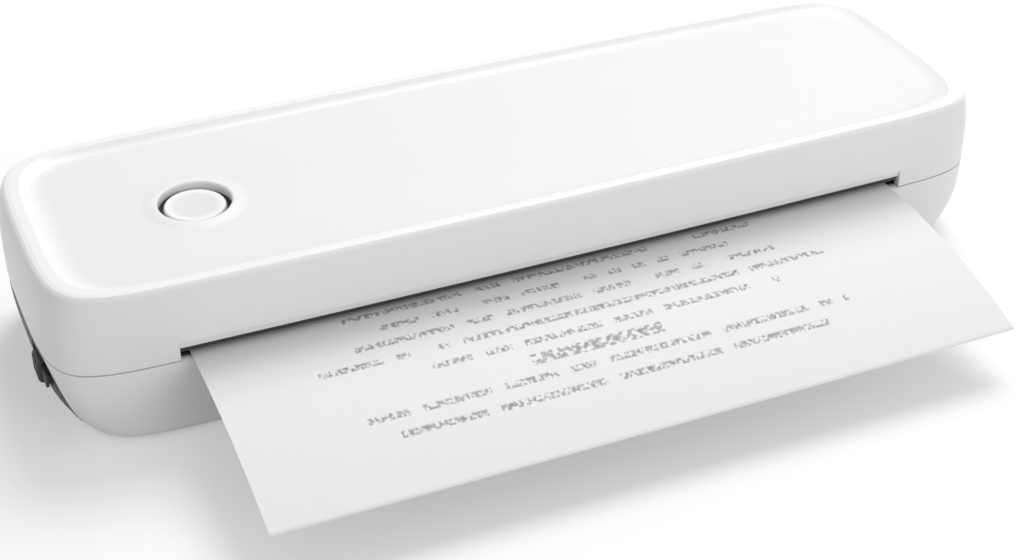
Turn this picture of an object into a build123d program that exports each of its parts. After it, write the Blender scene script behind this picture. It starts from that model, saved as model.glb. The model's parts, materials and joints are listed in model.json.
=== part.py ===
from build123d import *
import math
import os

# Millimetres. X runs along the printer, -Y is the front where the sheet comes out, +Z is up.
# The origin is the middle of the flat underside of the bottom case.

# ---- outer form -------------------------------------------------------------------------
end_room = 31.5           # rim beyond the sheet at each end: gears right, latch and board left
rim_width = 81.4          # over the raised rim, front to back, at the corners
height = 45.6             # underside to the top of the rim
side_bow = 0.8            # how far the long sides swell at mid length
corner_reach = 38.0       # how far each soft corner runs along both sides
corner_fullness = 0.854   # 0.707 is a plain quarter circle, 1 a square corner
end_bulge = 3.5           # the ends swell this far beyond the rim
bulge_top = 30.0          # height where the ends start to lean in towards the rim
tuck_height = 18.8        # below this the ends curve under
tuck_depth = 8.2          # how far the ends are tucked in at the underside
tuck_power = 2.4
parting = 22.2            # top edge of the bottom case
parting_gap = 0.3
wall = 2.2
floor_wall = 2.0
underside_chamfer = 1.2
rim_edge = 0.8            # rounding of the rim's outer edge
rim_flat = 2.3            # flat width of the rim
recess_depth = 1.8        # sunken top panel below the rim
recess_slope_side = 3.4
recess_slope_end = 7.2

# ---- paper path -------------------------------------------------------------------------
path_x = 1.0              # middle of the paper path along X
sheet_width = 210.0
sheet_thickness = 0.2
sheet_out = 64.0          # sheet beyond the front face
sheet_tail = 39.5         # Y of the sheet's trailing edge
sheet_curl_radius = 205.0
sheet_run = 0.3           # air between the sheet and what it passes
slot_side = 3.0           # room beside the sheet in the slot
slot_height = 3.5
inlet_side = 4.6          # room beside the sheet in the rear inlet
inlet_height = 4.4
lip_bevel = 0.7           # on the bottom case, under the sheet
lip_high = 2.2            # bevel on the cover, above the sheet
lip_deep = 0.8
tear_bar_drop = 1.3       # dark bar under the cover's lip
tear_bar_inset = 1.1
tear_bar_leg = 3.4
tear_bar_sheet = 1.2

# ---- platen and gear train --------------------------------------------------------------
platen_radius = 5.5
platen_inset = 16.7       # roller's axis behind the front face
roller_side = 1.0         # roller and head reach this far beyond the sheet's edges
shaft_radius = 3.0
bush_fit = 0.04
bush_radius = 4.6
bush_seat_fit = 0.05
bush_flange = 1.2
gear_module = 0.6
pressure_angle = 20.0
tooth_backlash = 0.12
platen_teeth = 24
idler_small_teeth = 16
idler_large_teeth = 32
pinion_teeth = 14
gear_face = 3.4
gear_gap = 0.6            # between the side plate and the first gear, and between gears
idler_drop = 4.1          # axes below the roller's axis
pinion_drop = 6.0
stud_radius = 1.5
stud_fit = 0.05
motor_radius = 8.0
motor_length = 20.0
motor_shaft_radius = 1.0

# ---- frame inside the base --------------------------------------------------------------
plate_side = 2.4          # side plates, beyond the roller's ends
plate_thickness = 1.2
plate_lead = 12.5         # side plates' front edge ahead of the roller's axis
rear_boss_inset = 7.7
pad_height = 1.0
guide_thickness = 1.8
window_gap = 0.6          # guides to platen rubber
screw_radius = 1.0
screw_head = 2.0
screw_head_height = 1.1
screw_fit = 0.05
boss_radius = 2.6

# ---- cover inside -----------------------------------------------------------------------
hinge_radius = 3.2
hinge_pin_radius = 1.25
hinge_fit = 0.03
hinge_gap = 0.35
hinge_inset = 3.5         # hinge axis inside the rear face
lug_inset = 7.5           # outer hinge lugs, in from the rim's ends
lug_span = 19.0
knuckle_lead = 5.0        # knuckle, from the inner end of the lugs
knuckle_length = 6.6
knuckle_run = 0.4
bracket_sheet = 1.2
bracket_drop = 4.4        # head bracket below the ceiling
head_ahead = 7.0          # print head, ahead of and behind the roller's axis
head_behind = 11.0
head_sink_height = 4.0
head_plate_height = 1.0
glaze_height = 0.3
pivot_behind = 3.5        # pivot shaft behind the head
pivot_rise = 4.9          # and above the head's underside
pivot_radius = 1.5
pivot_fit = 0.05
guide_clear = 0.4
cover_board_drop = 8.0    # cover board below the ceiling
cover_board_thickness = 1.6
switch_height = 2.2
ribbon_width = 28.0
ribbon_margin = 2.0

# ---- power button -----------------------------------------------------------------------
button_inset = 46.1       # button's middle, in from the rim's left end
button_y = -1.1
button_hole = 10.0
button_radius = 8.4
button_travel = 0.8
button_run = 0.35
groove_depth = 2.7        # groove round the button, below the sunken panel
collar_rise = 0.45        # soft raised collar round the hole
collar_crest = 11.0
collar_edge = 0.35
collar_radius = 14.2
cap_sunk = 1.3            # button's top below the collar
cap_dish = 0.35
seal_thickness = 0.6
seal_fit = 0.1
boss_depth = 3.2

# ---- left end ---------------------------------------------------------------------------
pocket_half = 32.5        # the pocket that the port panel lies in, open at the parting line
pocket_depth = 1.8
panel_low = 4.6
panel_round = 12.0        # upper corners of the panel
panel_sunk = 0.25         # panel's face below the case's surface
panel_thickness = 1.45
panel_fit = 0.1
backing_depth = 3.2       # inner face of the wall behind the panel
board_top = 6.6
board_thickness = 1.4
board_inset = 4.5         # control board's edge, in from the rim's left end
board_length = 54.0
usb_y = 11.0
usb_reach = 0.8           # socket's mouth beyond the rim's left end
usb_width = 8.94
usb_height = 3.26
usb_length = 9.2
tab_z = 16.0
track_reach = 2.1         # flat track for the slider, beyond the rim's left end
track_half = 3.9
track_lead = 1.0
knob_front = -22.6
knob_back = -15.4
knob_height = 6.2
knob_reach = 2.0
face_front = -27.0        # the thin face plate in front of the knob
face_thickness = 0.8
carriage_inset = 3.6      # inner part of the slider, in from the rim's left end
carriage_half = 2.4
slider_travel = 2.5
slider_run = 0.3
stem_half = 1.2
arm_low = 12.2
arm_high = 14.6
spring_z = 11.5
arm_gap = 3.3             # the arm runs forward this far outside the clip's middle
arm_thickness = 2.1
catch_inset = 12.5        # clips, in from the rim's ends
catch_width = 6.0
catch_thickness = 0.5
striker_inset = 6.7       # strikers behind the front face
striker_drop = 3.0        # and below the parting line
striker_radius = 1.2
striker_air = 0.35

foot_inset_x = 32.5       # feet, in from the rim's ends and sides
foot_inset_y = 11.7
foot_reach = 0.6
foot_sunk = 1.0

# ---- worked out from the above ----------------------------------------------------------
rim_length = sheet_width + 2 * end_room
half_length = rim_length / 2
half_width = rim_width / 2
cover_low = parting + parting_gap
guide_top = parting + sheet_run
sheet_low = guide_top + sheet_run
sheet_high = sheet_low + sheet_thickness
slot_top = parting + slot_height
slot_width = sheet_width + 2 * slot_side
inlet_half = sheet_width / 2 + inlet_side
head_half = sheet_width / 2 + roller_side
plate_inner = head_half + plate_side
platen_y = platen_inset - half_width
platen_z = guide_top - platen_radius
idler_z = platen_z - idler_drop
pinion_z = platen_z - pinion_drop
plate_front = platen_y - plate_lead
panel_top = height - recess_depth
ceiling = panel_top - wall
plate_outer = plate_inner + plate_thickness
gear_start = path_x + plate_outer + gear_gap
hinge_y = half_width - hinge_inset
hinge_z = parting + hinge_gap + hinge_radius
lug_outer = half_length - lug_inset
lug_inner = lug_outer - lug_span
knuckle_start = lug_inner + knuckle_lead
knuckle_end = knuckle_start + knuckle_length
bracket_top = ceiling - bracket_drop
head_low = sheet_high + sheet_run
head_front = platen_y - head_ahead
head_back = platen_y + head_behind
pivot_y = head_back + pivot_behind
pivot_z = head_low + pivot_rise
cover_board_top = ceiling - cover_board_drop
button_x = button_inset - half_length
ribbon_x = button_x + 48.4
usb_z = board_top + usb_height / 2
catch_x = half_length - catch_inset
arm_inner = catch_x + arm_gap
arm_outer = arm_inner + arm_thickness
striker_y = striker_inset - half_width
striker_z = parting - striker_drop
board_edge = board_inset - half_length
carriage_x = carriage_inset - half_length
track_x = -half_length - track_reach
usb_x = -half_length - usb_reach
clip_y = striker_y + striker_radius + striker_air
board_end = board_edge + board_length
board_places = [(x, y) for x in (board_edge + 6.0, board_end - 4.0) for y in (-1.5, 26.0)]


def pitch(teeth):
    return gear_module * teeth / 2


idler_y = platen_y + math.sqrt((pitch(platen_teeth) + pitch(idler_small_teeth)) ** 2
                               - (platen_z - idler_z) ** 2)
pinion_y = idler_y + math.sqrt((pitch(idler_large_teeth) + pitch(pinion_teeth)) ** 2
                               - (idler_z - pinion_z) ** 2)


# ---- small helpers ----------------------------------------------------------------------
def block(x0, x1, y0, y1, z0, z1):
    centre = Pos((x0 + x1) / 2, (y0 + y1) / 2, (z0 + z1) / 2)
    return centre * Box(abs(x1 - x0), abs(y1 - y0), abs(z1 - z0))


def rod_x(x0, x1, y, z, radius):
    return Pos((x0 + x1) / 2, y, z) * Rot(0, 90, 0) * Cylinder(radius, abs(x1 - x0))


def rod_z(x, y, z0, z1, radius):
    return Pos(x, y, (z0 + z1) / 2) * Cylinder(radius, abs(z1 - z0))


def rounded_block(x0, x1, y0, y1, z0, z1, radius):
    """A block whose upright edges are rounded."""
    plan = RectangleRounded(abs(x1 - x0), abs(y1 - y0), radius)
    return Pos((x0 + x1) / 2, (y0 + y1) / 2, z0) * extrude(plan, z1 - z0)


def slab_x(points, x0, x1):
    """A closed outline in Y and Z, carried along X."""
    face = make_face(Polyline(*[(y, z) for y, z in points], close=True))
    return Pos(x0, 0, 0) * extrude(Plane.YZ * face, x1 - x0)


def pan_screw(x, y, top, length):
    """A small pan-head screw standing on Z, its head's underside at top."""
    head = rod_z(x, y, top, top + screw_head_height, screw_head)
    return head + rod_z(x, y, top - length, top, screw_radius)


def screw_hole(x, y, z0, z1):
    return rod_z(x, y, z0, z1, screw_radius + screw_fit)


def group(solids):
    return Compound(children=list(solids))


# ---- the plan outline and the end curve -------------------------------------------------
def end_offset(z):
    """How far the end stands outside the rim at this height."""
    if z > bulge_top:
        lean = (z - bulge_top) / (height - bulge_top)
        return end_bulge * math.sqrt(max(0.0, 1 - lean ** 2))
    if z < tuck_height:
        return end_bulge - tuck_depth * ((tuck_height - z) / tuck_height) ** tuck_power
    return end_bulge


def plan_face(z, inset_side=0.0, inset_end=None, lean_z=None):
    """The soft-cornered outline at height z, drawn in from the outer surface."""
    inset_end = inset_side if inset_end is None else inset_end
    half_x = half_length + end_offset(z if lean_z is None else lean_z) - inset_end
    half_y = half_width - inset_side
    reach_x = corner_reach - inset_end
    reach_y = corner_reach - inset_side
    run_x = half_x - reach_x
    run_y = half_y - reach_y
    cut_x = reach_x * (1 - corner_fullness)
    cut_y = reach_y * (1 - corner_fullness)
    slope = 2 * side_bow / run_x
    edges = [
        ThreePointArc((-run_x, -half_y), (0, -half_y - side_bow), (run_x, -half_y)),
        Spline((run_x, -half_y), (half_x - cut_x, -half_y + cut_y), (half_x, -run_y),
               tangents=[(1, slope), (0, 1)]),
        Line((half_x, -run_y), (half_x, run_y)),
        Spline((half_x, run_y), (half_x - cut_x, half_y - cut_y), (run_x, half_y),
               tangents=[(0, 1), (-1, slope)]),
        ThreePointArc((run_x, half_y), (0, half_y + side_bow), (-run_x, half_y)),
        Spline((-run_x, half_y), (-half_x + cut_x, half_y - cut_y), (-half_x, run_y),
               tangents=[(-1, -slope), (0, -1)]),
        Line((-half_x, run_y), (-half_x, -run_y)),
        Spline((-half_x, -run_y), (-half_x + cut_x, -half_y + cut_y), (-run_x, -half_y),
               tangents=[(0, -1), (1, -slope)]),
    ]
    return Pos(0, 0, z) * make_face(Wire(edges))


def stack(heights, inset=0.0):
    """A smooth body through the plan outlines at these heights."""
    return loft([plan_face(z, inset) for z in heights])


def steps(low, high, count):
    return [low + (high - low) * i / (count - 1) for i in range(count)]


# ---- bottom case ------------------------------------------------------------------------
def sheet_bosses():
    """Where the paper guides are screwed down: (x, y, top of boss)."""
    low = guide_top - guide_thickness
    span = head_half - 14.0
    rear = [(path_x + x, half_width - rear_boss_inset, low) for x in steps(-span, span, 4)]
    middle = [(path_x + x, platen_y + 9.8, low) for x in (-62, 76)]
    span = head_half - 12.0
    front = [(path_x + x, platen_y - 10.6, low) for x in steps(-span, span, 4)]
    return rear + middle, front


def plate_feet(side):
    """Screw places of a side plate's feet, on the case floor."""
    inward = -side * 5.0
    last = platen_y + (10.0 if side < 0 else 38.0)
    return [(path_x + side * plate_outer + inward, y) for y in (plate_front + 4.0, last)]


foot_x = half_length - foot_inset_x
foot_y = half_width - foot_inset_y
foot_places = [(x, y) for x in (-foot_x, foot_x) for y in (-foot_y, foot_y)]


def bottom_case():
    shell = stack(steps(underside_chamfer, parting, 8))
    under = loft([plan_face(0, underside_chamfer, lean_z=underside_chamfer),
                  plan_face(underside_chamfer)], ruled=True)
    cavity = stack(steps(floor_wall, parting + 1.0, 8), wall)
    case = shell + under - cavity

    for x in (-96, -48, 0, 48, 96):                       # gussets behind the front wall
        case += block(path_x + x - 1, path_x + x + 1, wall - 1.1 - half_width,
                      9.3 - half_width, 1.5, guide_top - guide_thickness - 0.1)
    for x in (18.5 - half_length, -74, -52, 73, half_length - 18.5):      # floor ribs
        case += block(x - 0.8, x + 0.8, -8.5 if x < 0 else 16.0, half_width - 4.7, 1.5, 4.4)
    rear_bosses, front_bosses = sheet_bosses()
    for x, y, top in rear_bosses + front_bosses:
        case += rod_z(x, y, 1.5, top, boss_radius)
        case -= screw_hole(x, y, top - 7.0, top + 1)
    for side in (-1, 1):
        for x, y in plate_feet(side):
            case += rod_z(x, y, 1.5, floor_wall + pad_height, boss_radius)
            case -= screw_hole(x, y, 0.9, 5.0)

    for x, y in foot_places:                              # shallow seats for the feet
        case -= rounded_block(x - 10, x + 10, y - 3.2, y + 3.2, -1, foot_sunk, 3.15)

    body = stack(steps(underside_chamfer, parting, 8), 0.4)   # wall behind the port panel
    backing = panel_prism(-1.4, 1.5) - stack(steps(underside_chamfer, parting, 8), backing_depth)
    stop_y = knob_front + 11.2
    backing += block(carriage_x - 4.0, carriage_x + 3.2, stop_y, stop_y + 1.6, spring_z - 1.9,
                     spring_z + 1.9)
    case += backing & body
    case -= panel_prism(0.0) - stack(steps(underside_chamfer, parting, 8), pocket_depth)
    flat = pocket_half - panel_round
    case -= (block(-half_length - 14, -half_length + 20, -flat, flat, parting - 1, parting + 1)
             - extrude(plan_face(parting - 2, pocket_depth), 4))
    case -= slider_slot(track_x - 2, carriage_x)
    case -= block(-half_length - 6, board_edge, usb_y - usb_width / 2 - 0.6,
                  usb_y + usb_width / 2 + 0.6, board_top - 0.4, board_top + usb_height + 0.6)

    flush = extrude(plan_face(parting - 8.0, lean_z=parting), 20.0)
    for side in (-1, 1):                                  # hinge lugs and striker ears
        pairs = ((lug_inner, knuckle_start - knuckle_run),
                 (knuckle_end + knuckle_run, lug_outer))
        for a, b in pairs:
            lug = rod_x(side * a, side * b, hinge_y, hinge_z, hinge_radius)
            lug += block(side * a, side * b, hinge_y - 2.6, hinge_y + hinge_radius,
                         parting - 6.0, hinge_z)
            case += lug & flush
        case -= rod_x(side * (lug_inner - 1), side * (lug_outer - 1.2), hinge_y, hinge_z,
                      hinge_pin_radius + hinge_fit)
        ear_out = side * (catch_x - catch_width / 2 - 0.6)
        ear = block(ear_out, ear_out - side * 3.0, striker_y - 8.0, striker_y + 2.4, 1.5,
                    striker_z + 2.0)
        case += ear & body
        case -= rod_x(ear_out + side, ear_out - side * 4, striker_y, striker_z,
                      striker_radius + 0.02)

    half = slot_width / 2
    mouth = slab_x([(-rim_width, parting + 1), (-rim_width, parting - lip_bevel - 1.4),
                    (-half_width - 0.5, parting - lip_bevel), (0.9 - half_width, parting),
                    (0.9 - half_width, parting + 1)], path_x - half, path_x + half)
    return case - mouth


def rubber_feet():
    pads = []
    for x, y in foot_places:
        pad = rounded_block(x - 9.8, x + 9.8, y - 3.0, y + 3.0, -foot_reach, foot_sunk, 2.95)
        pads.append(chamfer(pad.faces().sort_by(Axis.Z)[0].edges(), 0.25))
    return group(pads)


# ---- left end: port panel, socket, release slider ---------------------------------------
def panel_prism(margin, low_margin=None):
    """The port panel's outline, drawn in by margin, carried along X through the left end."""
    half = pocket_half - margin
    low = panel_low + (margin if low_margin is None else -low_margin)
    radius = panel_round - margin
    y = pocket_half - panel_round
    z = parting - panel_round
    slant = radius * math.sqrt(0.5)
    edges = [Line((-half, low), (half, low)), Line((half, low), (half, z)),
             ThreePointArc((half, z), (y + slant, z + slant), (y, z + radius)),
             Line((y, z + radius), (-y, z + radius)),
             ThreePointArc((-y, z + radius), (-y - slant, z + slant), (-half, z)),
             Line((-half, z), (-half, low))]
    face = make_face(Wire(edges))
    return Pos(-half_length - 6, 0, 0) * extrude(Plane.YZ * face, 24)


def slider_slot(x0, x1):
    """The slot that the slider's stem runs in."""
    return block(x0, x1, face_front + 0.7 - slider_run,
                 knob_back - 1.2 + slider_travel + slider_run, tab_z - stem_half - slider_run,
                 tab_z + stem_half + slider_run)


def port_panel():
    heights = steps(underside_chamfer, parting, 8)
    plate = stack(heights, panel_sunk) - stack(heights, panel_sunk + panel_thickness)
    plate &= panel_prism(panel_fit)
    socket = Pos(-half_length, usb_y, usb_z) * Rot(0, 90, 0) * extrude(
        SlotOverall(usb_width + 0.5, usb_height + 0.5, rotation=90), 8, both=True)
    track = block(track_x - 6, track_x, face_front - track_lead,
                  knob_back + slider_travel + track_lead, tab_z - track_half, tab_z + track_half)
    return plate - socket - track - slider_slot(track_x - 2, carriage_x)


def usb_c_port():
    outline = SlotOverall(usb_width, usb_height, rotation=90)
    hollow = SlotOverall(usb_width - 0.6, usb_height - 0.6, rotation=90)
    turn = Pos(usb_x, usb_y, usb_z) * Rot(0, 90, 0)
    shell = turn * extrude(outline, usb_length)
    shell -= turn * extrude(hollow, usb_length - 1.2)
    tongue = block(usb_x + 0.9, usb_x + usb_length - 0.8, usb_y - 3.2, usb_y + 3.2,
                   usb_z - 0.35, usb_z + 0.35)
    return shell + tongue


def release_slider():
    """The knob outside the panel, its stem through the slot, and the arm to the catch."""
    outer = track_x - slider_run
    knob = block(outer - knob_reach, outer, knob_front, knob_back, tab_z - knob_height / 2,
                 tab_z + knob_height / 2)
    knob = fillet(knob.faces().sort_by(Axis.X)[0].edges(), 1.2)
    for y in steps(knob_front + 2.0, knob_back - 2.0, 3):     # grip grooves
        knob -= block(outer - knob_reach - 1, outer - knob_reach + 0.4, y - 0.4, y + 0.4,
                      tab_z - knob_height, tab_z + knob_height)
    face = rounded_block(face_front, knob_back, -2.2, 2.2, 0, face_thickness, 1.0)
    face = Pos(outer, 0, tab_z) * Rot(0, -90, 0) * Rot(0, 0, 90) * face
    stem = block(outer - 0.1, carriage_x, face_front + 0.7, knob_back - 1.2,
                 tab_z - stem_half, tab_z + stem_half)
    post_y = face_front - 0.6
    carriage = block(carriage_x, carriage_x + 2.0, post_y, knob_back - 0.6,
                     tab_z - carriage_half, tab_z + carriage_half)
    post = block(carriage_x, carriage_x + 2.0, post_y, post_y + 3.0, spring_z - 1.7, tab_z)
    shelf = block(carriage_x, -arm_inner, post_y, post_y + 3.0, arm_low, arm_high)
    reach = block(-arm_outer, -arm_inner, clip_y - 2.4, post_y + 3.0, arm_low, arm_high)
    tongue = block(-arm_outer, -catch_x + catch_width / 2 - 1.0, clip_y - 2.4, clip_y - 0.8,
                   arm_low, arm_high)
    return knob + face + stem + carriage + post + shelf + reach + tongue


def slider_spring():
    """Compression spring between the slider's post and the stop rib of the case."""
    start = face_front - 0.6 + 3.0 + 0.2
    end = knob_front + 11.2 - 0.2
    turns = 5
    radius = 1.3
    coil = Helix(pitch=(end - start - 0.5) / turns, height=end - start - 0.5, radius=radius)
    wire = sweep(Plane(origin=coil @ 0, z_dir=coil % 0) * Circle(0.2), path=coil)
    return Pos(carriage_x + 1.4, start + 0.25, spring_z) * Rot(-90, 0, 0) * wire


def latch_strikers():
    pins = []
    for side in (-1, 1):
        root = catch_x - catch_width / 2 - 3.6
        pins.append(rod_x(side * root, side * (catch_x + catch_width / 2), striker_y,
                          striker_z, striker_radius))
    return group(pins)


def cover_catches():
    """Spring-steel clips that hang from the cover and snap under the strikers."""
    t = catch_thickness
    y = clip_y
    top = ceiling - 8.0
    under = striker_z - striker_radius - 0.3
    nose = striker_y - 0.2
    profile = [(y, top), (y, under), (nose, under - 0.7), (y, under - 3.0), (y, arm_low - 0.6),
               (y + t, arm_low - 0.6), (y + t, under - 2.8), (nose + 0.8, under - 0.7),
               (y + t, under + 0.2), (y + t, top)]
    half = catch_width / 2 - 0.4
    return group(slab_x(profile, side * catch_x - half, side * catch_x + half)
                 for side in (-1, 1))


# ---- electronics in the base ------------------------------------------------------------
def control_board():
    board = block(board_edge, board_end, -4.5, 29.0, board_top - board_thickness, board_top)
    board &= stack(steps(underside_chamfer, parting, 8), backing_depth + 0.4)
    for x, y in board_places:
        board -= screw_hole(x, y, 4, 8)
    return board


def board_components():
    x = board_edge
    top = board_top
    items = [block(x + 16, x + 28, 2, 14, top, top + 1.4),
             block(x + 34, x + 42, 4, 12, top, top + 1.1),
             block(x + 19, x + 26, 18, 25, top, top + 1.0),
             block(x + 34, x + 46, 17, 24, top, top + 4.2),
             block(x + 31, x + 37, -3, 1, top, top + 3.0),
             rod_z(x + 14, 22, top, top + 6.0, 3.0), rod_z(x + 12, 12, top, top + 6.0, 3.0)]
    return group(items)


def board_supports():
    low = board_top - board_thickness
    return group(rod_z(x, y, floor_wall, low, 2.4) - screw_hole(x, y, floor_wall + 0.6, 6)
                 for x, y in board_places)


def board_screws():
    return group(pan_screw(x, y, board_top, 3.6) for x, y in board_places)


def battery_pack():
    pack = block(-48, 70, -10, 27.5, floor_wall, 15.5)
    pack = fillet(pack.edges().filter_by(Axis.X), 3.0)
    seam = block(-48.0, 70.0, 8.4, 9.1, 14.9, 16)
    return pack - seam


# ---- side plates, bushes, guides --------------------------------------------------------
def side_plate(side):
    x0 = path_x + side * plate_inner
    x1 = path_x + side * plate_outer
    back = platen_y + (13.0 if side < 0 else 41.0)
    low = floor_wall + pad_height
    top = platen_z + 7.0
    outline = [(plate_front, low), (back, low), (back, platen_z + 1.5),
               (platen_y + 9.5, platen_z + 1.5), (platen_y + 7.0, top), (platen_y - 7.0, top),
               (platen_y - 9.5, platen_z + 3.5), (plate_front, platen_z + 3.5)]
    plate = slab_x(outline, min(x0, x1), max(x0, x1))
    plate -= rod_x(x0 - side * 2, x1 + side * 2, platen_y, platen_z, bush_radius
                   + bush_seat_fit)
    for x, y in plate_feet(side):
        foot = block(x1, x - side * 3.4, y - 3.4, y + 3.4, low, low + plate_thickness)
        plate += foot
        plate -= screw_hole(x, y, low - 1, low + 3)
    if side > 0:
        plate -= rod_x(x0 - 2, x1 + 2, pinion_y, pinion_z, 3.2)
        plate -= rod_x(x0 - 2, x1 + 2, idler_y, idler_z, stud_radius)
        for dy in (-5.6, 5.6):
            plate -= rod_x(x0 - 2, x1 + 2, pinion_y + dy, pinion_z, screw_radius + screw_fit)
    return plate


def plate_screws():
    top = floor_wall + pad_height + plate_thickness
    return group(pan_screw(x, y, top, 3.1) for side in (-1, 1) for x, y in plate_feet(side))


def platen_bush(side):
    x0 = path_x + side * plate_inner
    x1 = path_x + side * (plate_outer + 0.4)
    bush = rod_x(x0, x1, platen_y, platen_z, bush_radius)
    bush += rod_x(x0 - side * bush_flange, x0, platen_y, platen_z, bush_radius + 1.0)
    return bush - rod_x(x0 - side * 3, x1 + side * 3, platen_y, platen_z,
                        shaft_radius + bush_fit)


def guide_plate(y0, y1, places):
    half = plate_inner - 0.5
    low = guide_top - guide_thickness
    plate = block(path_x - half, path_x + half, y0, y1, low, guide_top)
    for x, y, top in places:
        plate -= screw_hole(x, y, low - 1, guide_top + 1)
        plate -= rod_z(x, y, guide_top - screw_head_height - 0.1, guide_top + 1,
                       screw_head + 0.1)
    return plate


def front_paper_guide():
    edge = platen_y - platen_radius - window_gap
    return guide_plate(wall + 0.25 - half_width, edge, sheet_bosses()[1])


def rear_paper_guide():
    edge = platen_y + platen_radius + window_gap
    plate = guide_plate(edge, half_width - wall - 0.4, sheet_bosses()[0])
    low = guide_top - guide_thickness
    for x in steps(-88, 88, 12):                          # stiffening ribs underneath
        if abs(x) > 12:
            plate += block(path_x + x - 0.6, path_x + x + 0.6, edge + 6.5, half_width - 12.7,
                           low - 1.6, low)
    plate -= block(path_x - 3.1, path_x + 3.1, edge + 3.0, edge + 7.2, low - 1, guide_top + 1)
    return plate


def guide_screws():
    rear_bosses, front_bosses = sheet_bosses()
    return group(pan_screw(x, y, guide_top - screw_head_height - 0.1, 6.0)
                 for x, y, top in rear_bosses + front_bosses)


def paper_sensor():
    edge = platen_y + platen_radius + window_gap
    return block(path_x - 3.0, path_x + 3.0, edge + 3.1, edge + 7.1, guide_top - 3.8,
                 guide_top - 0.5)


# ---- gears ------------------------------------------------------------------------------
def gear(teeth, x0, x1, y, z, bore, toward):
    """An involute spur gear on X, with a tooth centred on the angle toward."""
    base = pitch(teeth) * math.cos(math.radians(pressure_angle))
    tip = pitch(teeth) + 0.9 * gear_module
    root = pitch(teeth) - 1.2 * gear_module
    pressure = math.radians(pressure_angle)
    half_tooth = (math.pi * gear_module / 2 - tooth_backlash) / (2 * pitch(teeth))
    start = half_tooth + math.tan(pressure) - pressure
    flank = []
    for i in range(4):
        radius = max(base, root) + (tip - max(base, root)) * i / 3
        roll = math.acos(min(1.0, base / radius))
        flank.append((radius, start - (math.tan(roll) - roll)))
    points = []
    for k in range(teeth):
        middle = toward + 2 * math.pi * k / teeth
        if root < base:
            points.append((root, middle - flank[0][1]))
        points += [(r, middle - a) for r, a in flank]
        points += [(r, middle + a) for r, a in reversed(flank)]
        if root < base:
            points.append((root, middle + flank[0][1]))
    outline = Polyline(*[(r * math.cos(a), r * math.sin(a)) for r, a in points], close=True)
    wheel = Pos(x0, y, z) * extrude(Plane.YZ * make_face(outline), x1 - x0)
    return wheel - rod_x(x0 - 1, x1 + 1, y, z, bore)


first_plane = gear_start
first_end = first_plane + gear_face
second_plane = first_end + gear_gap
second_end = second_plane + gear_face
mesh_angle = math.atan2(idler_z - platen_z, idler_y - platen_y)
drive_angle = math.atan2(pinion_z - idler_z, pinion_y - idler_y)


def platen_gear():
    wheel = gear(platen_teeth, first_plane, first_end, platen_y, platen_z, shaft_radius,
                 mesh_angle)
    recess = rod_x(first_end - 0.8, first_end + 1, platen_y, platen_z, 5.2)
    return wheel - (recess - rod_x(first_end - 1, first_end + 2, platen_y, platen_z, 4.2))


def idler_gear():
    bore = stud_radius + stud_fit
    small = gear(idler_small_teeth, first_plane, first_end, idler_y, idler_z, bore,
                 mesh_angle + math.pi + math.pi / idler_small_teeth)
    large = gear(idler_large_teeth, second_plane, second_end, idler_y, idler_z, bore,
                 drive_angle)
    web = rod_x(first_end, second_plane, idler_y, idler_z, 3.6)
    large -= (rod_x(second_end - 1.0, second_end + 1, idler_y, idler_z, 8.0)
              - rod_x(second_end - 2, second_end + 2, idler_y, idler_z, 3.4))
    return small + large + (web - rod_x(first_end - 1, second_plane + 1, idler_y, idler_z,
                                        bore))


def motor_pinion():
    return gear(pinion_teeth, second_plane - 0.8, second_end + 0.6, pinion_y, pinion_z,
                motor_shaft_radius, drive_angle + math.pi + math.pi / pinion_teeth)


def idler_stud():
    x0 = path_x + plate_inner
    pin = rod_x(x0 - 0.6, second_end + 1.6, idler_y, idler_z, stud_radius)
    return pin + rod_x(x0 - 0.6, x0, idler_y, idler_z, stud_radius + 1.0)


def ring_clip(x, y, z, bore):
    ring = rod_x(x, x + 0.6, y, z, bore + 1.5) - rod_x(x - 1, x + 2, y, z, bore)
    return ring - block(x - 1, x + 2, y - 0.7, y + 0.7, z, z + bore + 3)


def idler_clip():
    return ring_clip(second_end + 0.3, idler_y, idler_z, stud_radius)


# ---- platen -----------------------------------------------------------------------------
def platen_shaft():
    x0 = path_x - plate_outer - 3.2
    return rod_x(x0, first_end + 0.2, platen_y, platen_z, shaft_radius)


def platen_rubber():
    x0, x1 = path_x - head_half, path_x + head_half
    sleeve = rod_x(x0, x1, platen_y, platen_z, platen_radius)
    return sleeve - rod_x(x0 - 1, x1 + 1, platen_y, platen_z, shaft_radius)


def platen_clip():
    return ring_clip(path_x - plate_outer - 1.6, platen_y, platen_z, shaft_radius)


# ---- motor ------------------------------------------------------------------------------
def drive_motor():
    face = path_x + plate_inner
    can = rod_x(face - motor_length, face - 1.0, pinion_y, pinion_z, motor_radius)
    can = fillet(can.edges().filter_by(GeomType.CIRCLE), 0.8)
    flange = block(face - 1.0, face, pinion_y - 8.0, pinion_y + 8.0, pinion_z - 4.0,
                   pinion_z + 4.0)
    for dy in (-5.6, 5.6):
        flange -= rod_x(face - 3, face + 1, pinion_y + dy, pinion_z, screw_radius + screw_fit)
        can -= rod_x(face - 6, face + 1, pinion_y + dy, pinion_z, screw_radius + screw_fit)
    boss = rod_x(face, face + 1.0, pinion_y, pinion_z, 3.0)
    body = can + flange + boss
    return body - rod_x(face - 10.0, face + 2.0, pinion_y, pinion_z,
                        motor_shaft_radius + 0.05)


def motor_shaft():
    face = path_x + plate_inner
    return rod_x(face - 9.0, second_end + 1.2, pinion_y, pinion_z, motor_shaft_radius)


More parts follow.
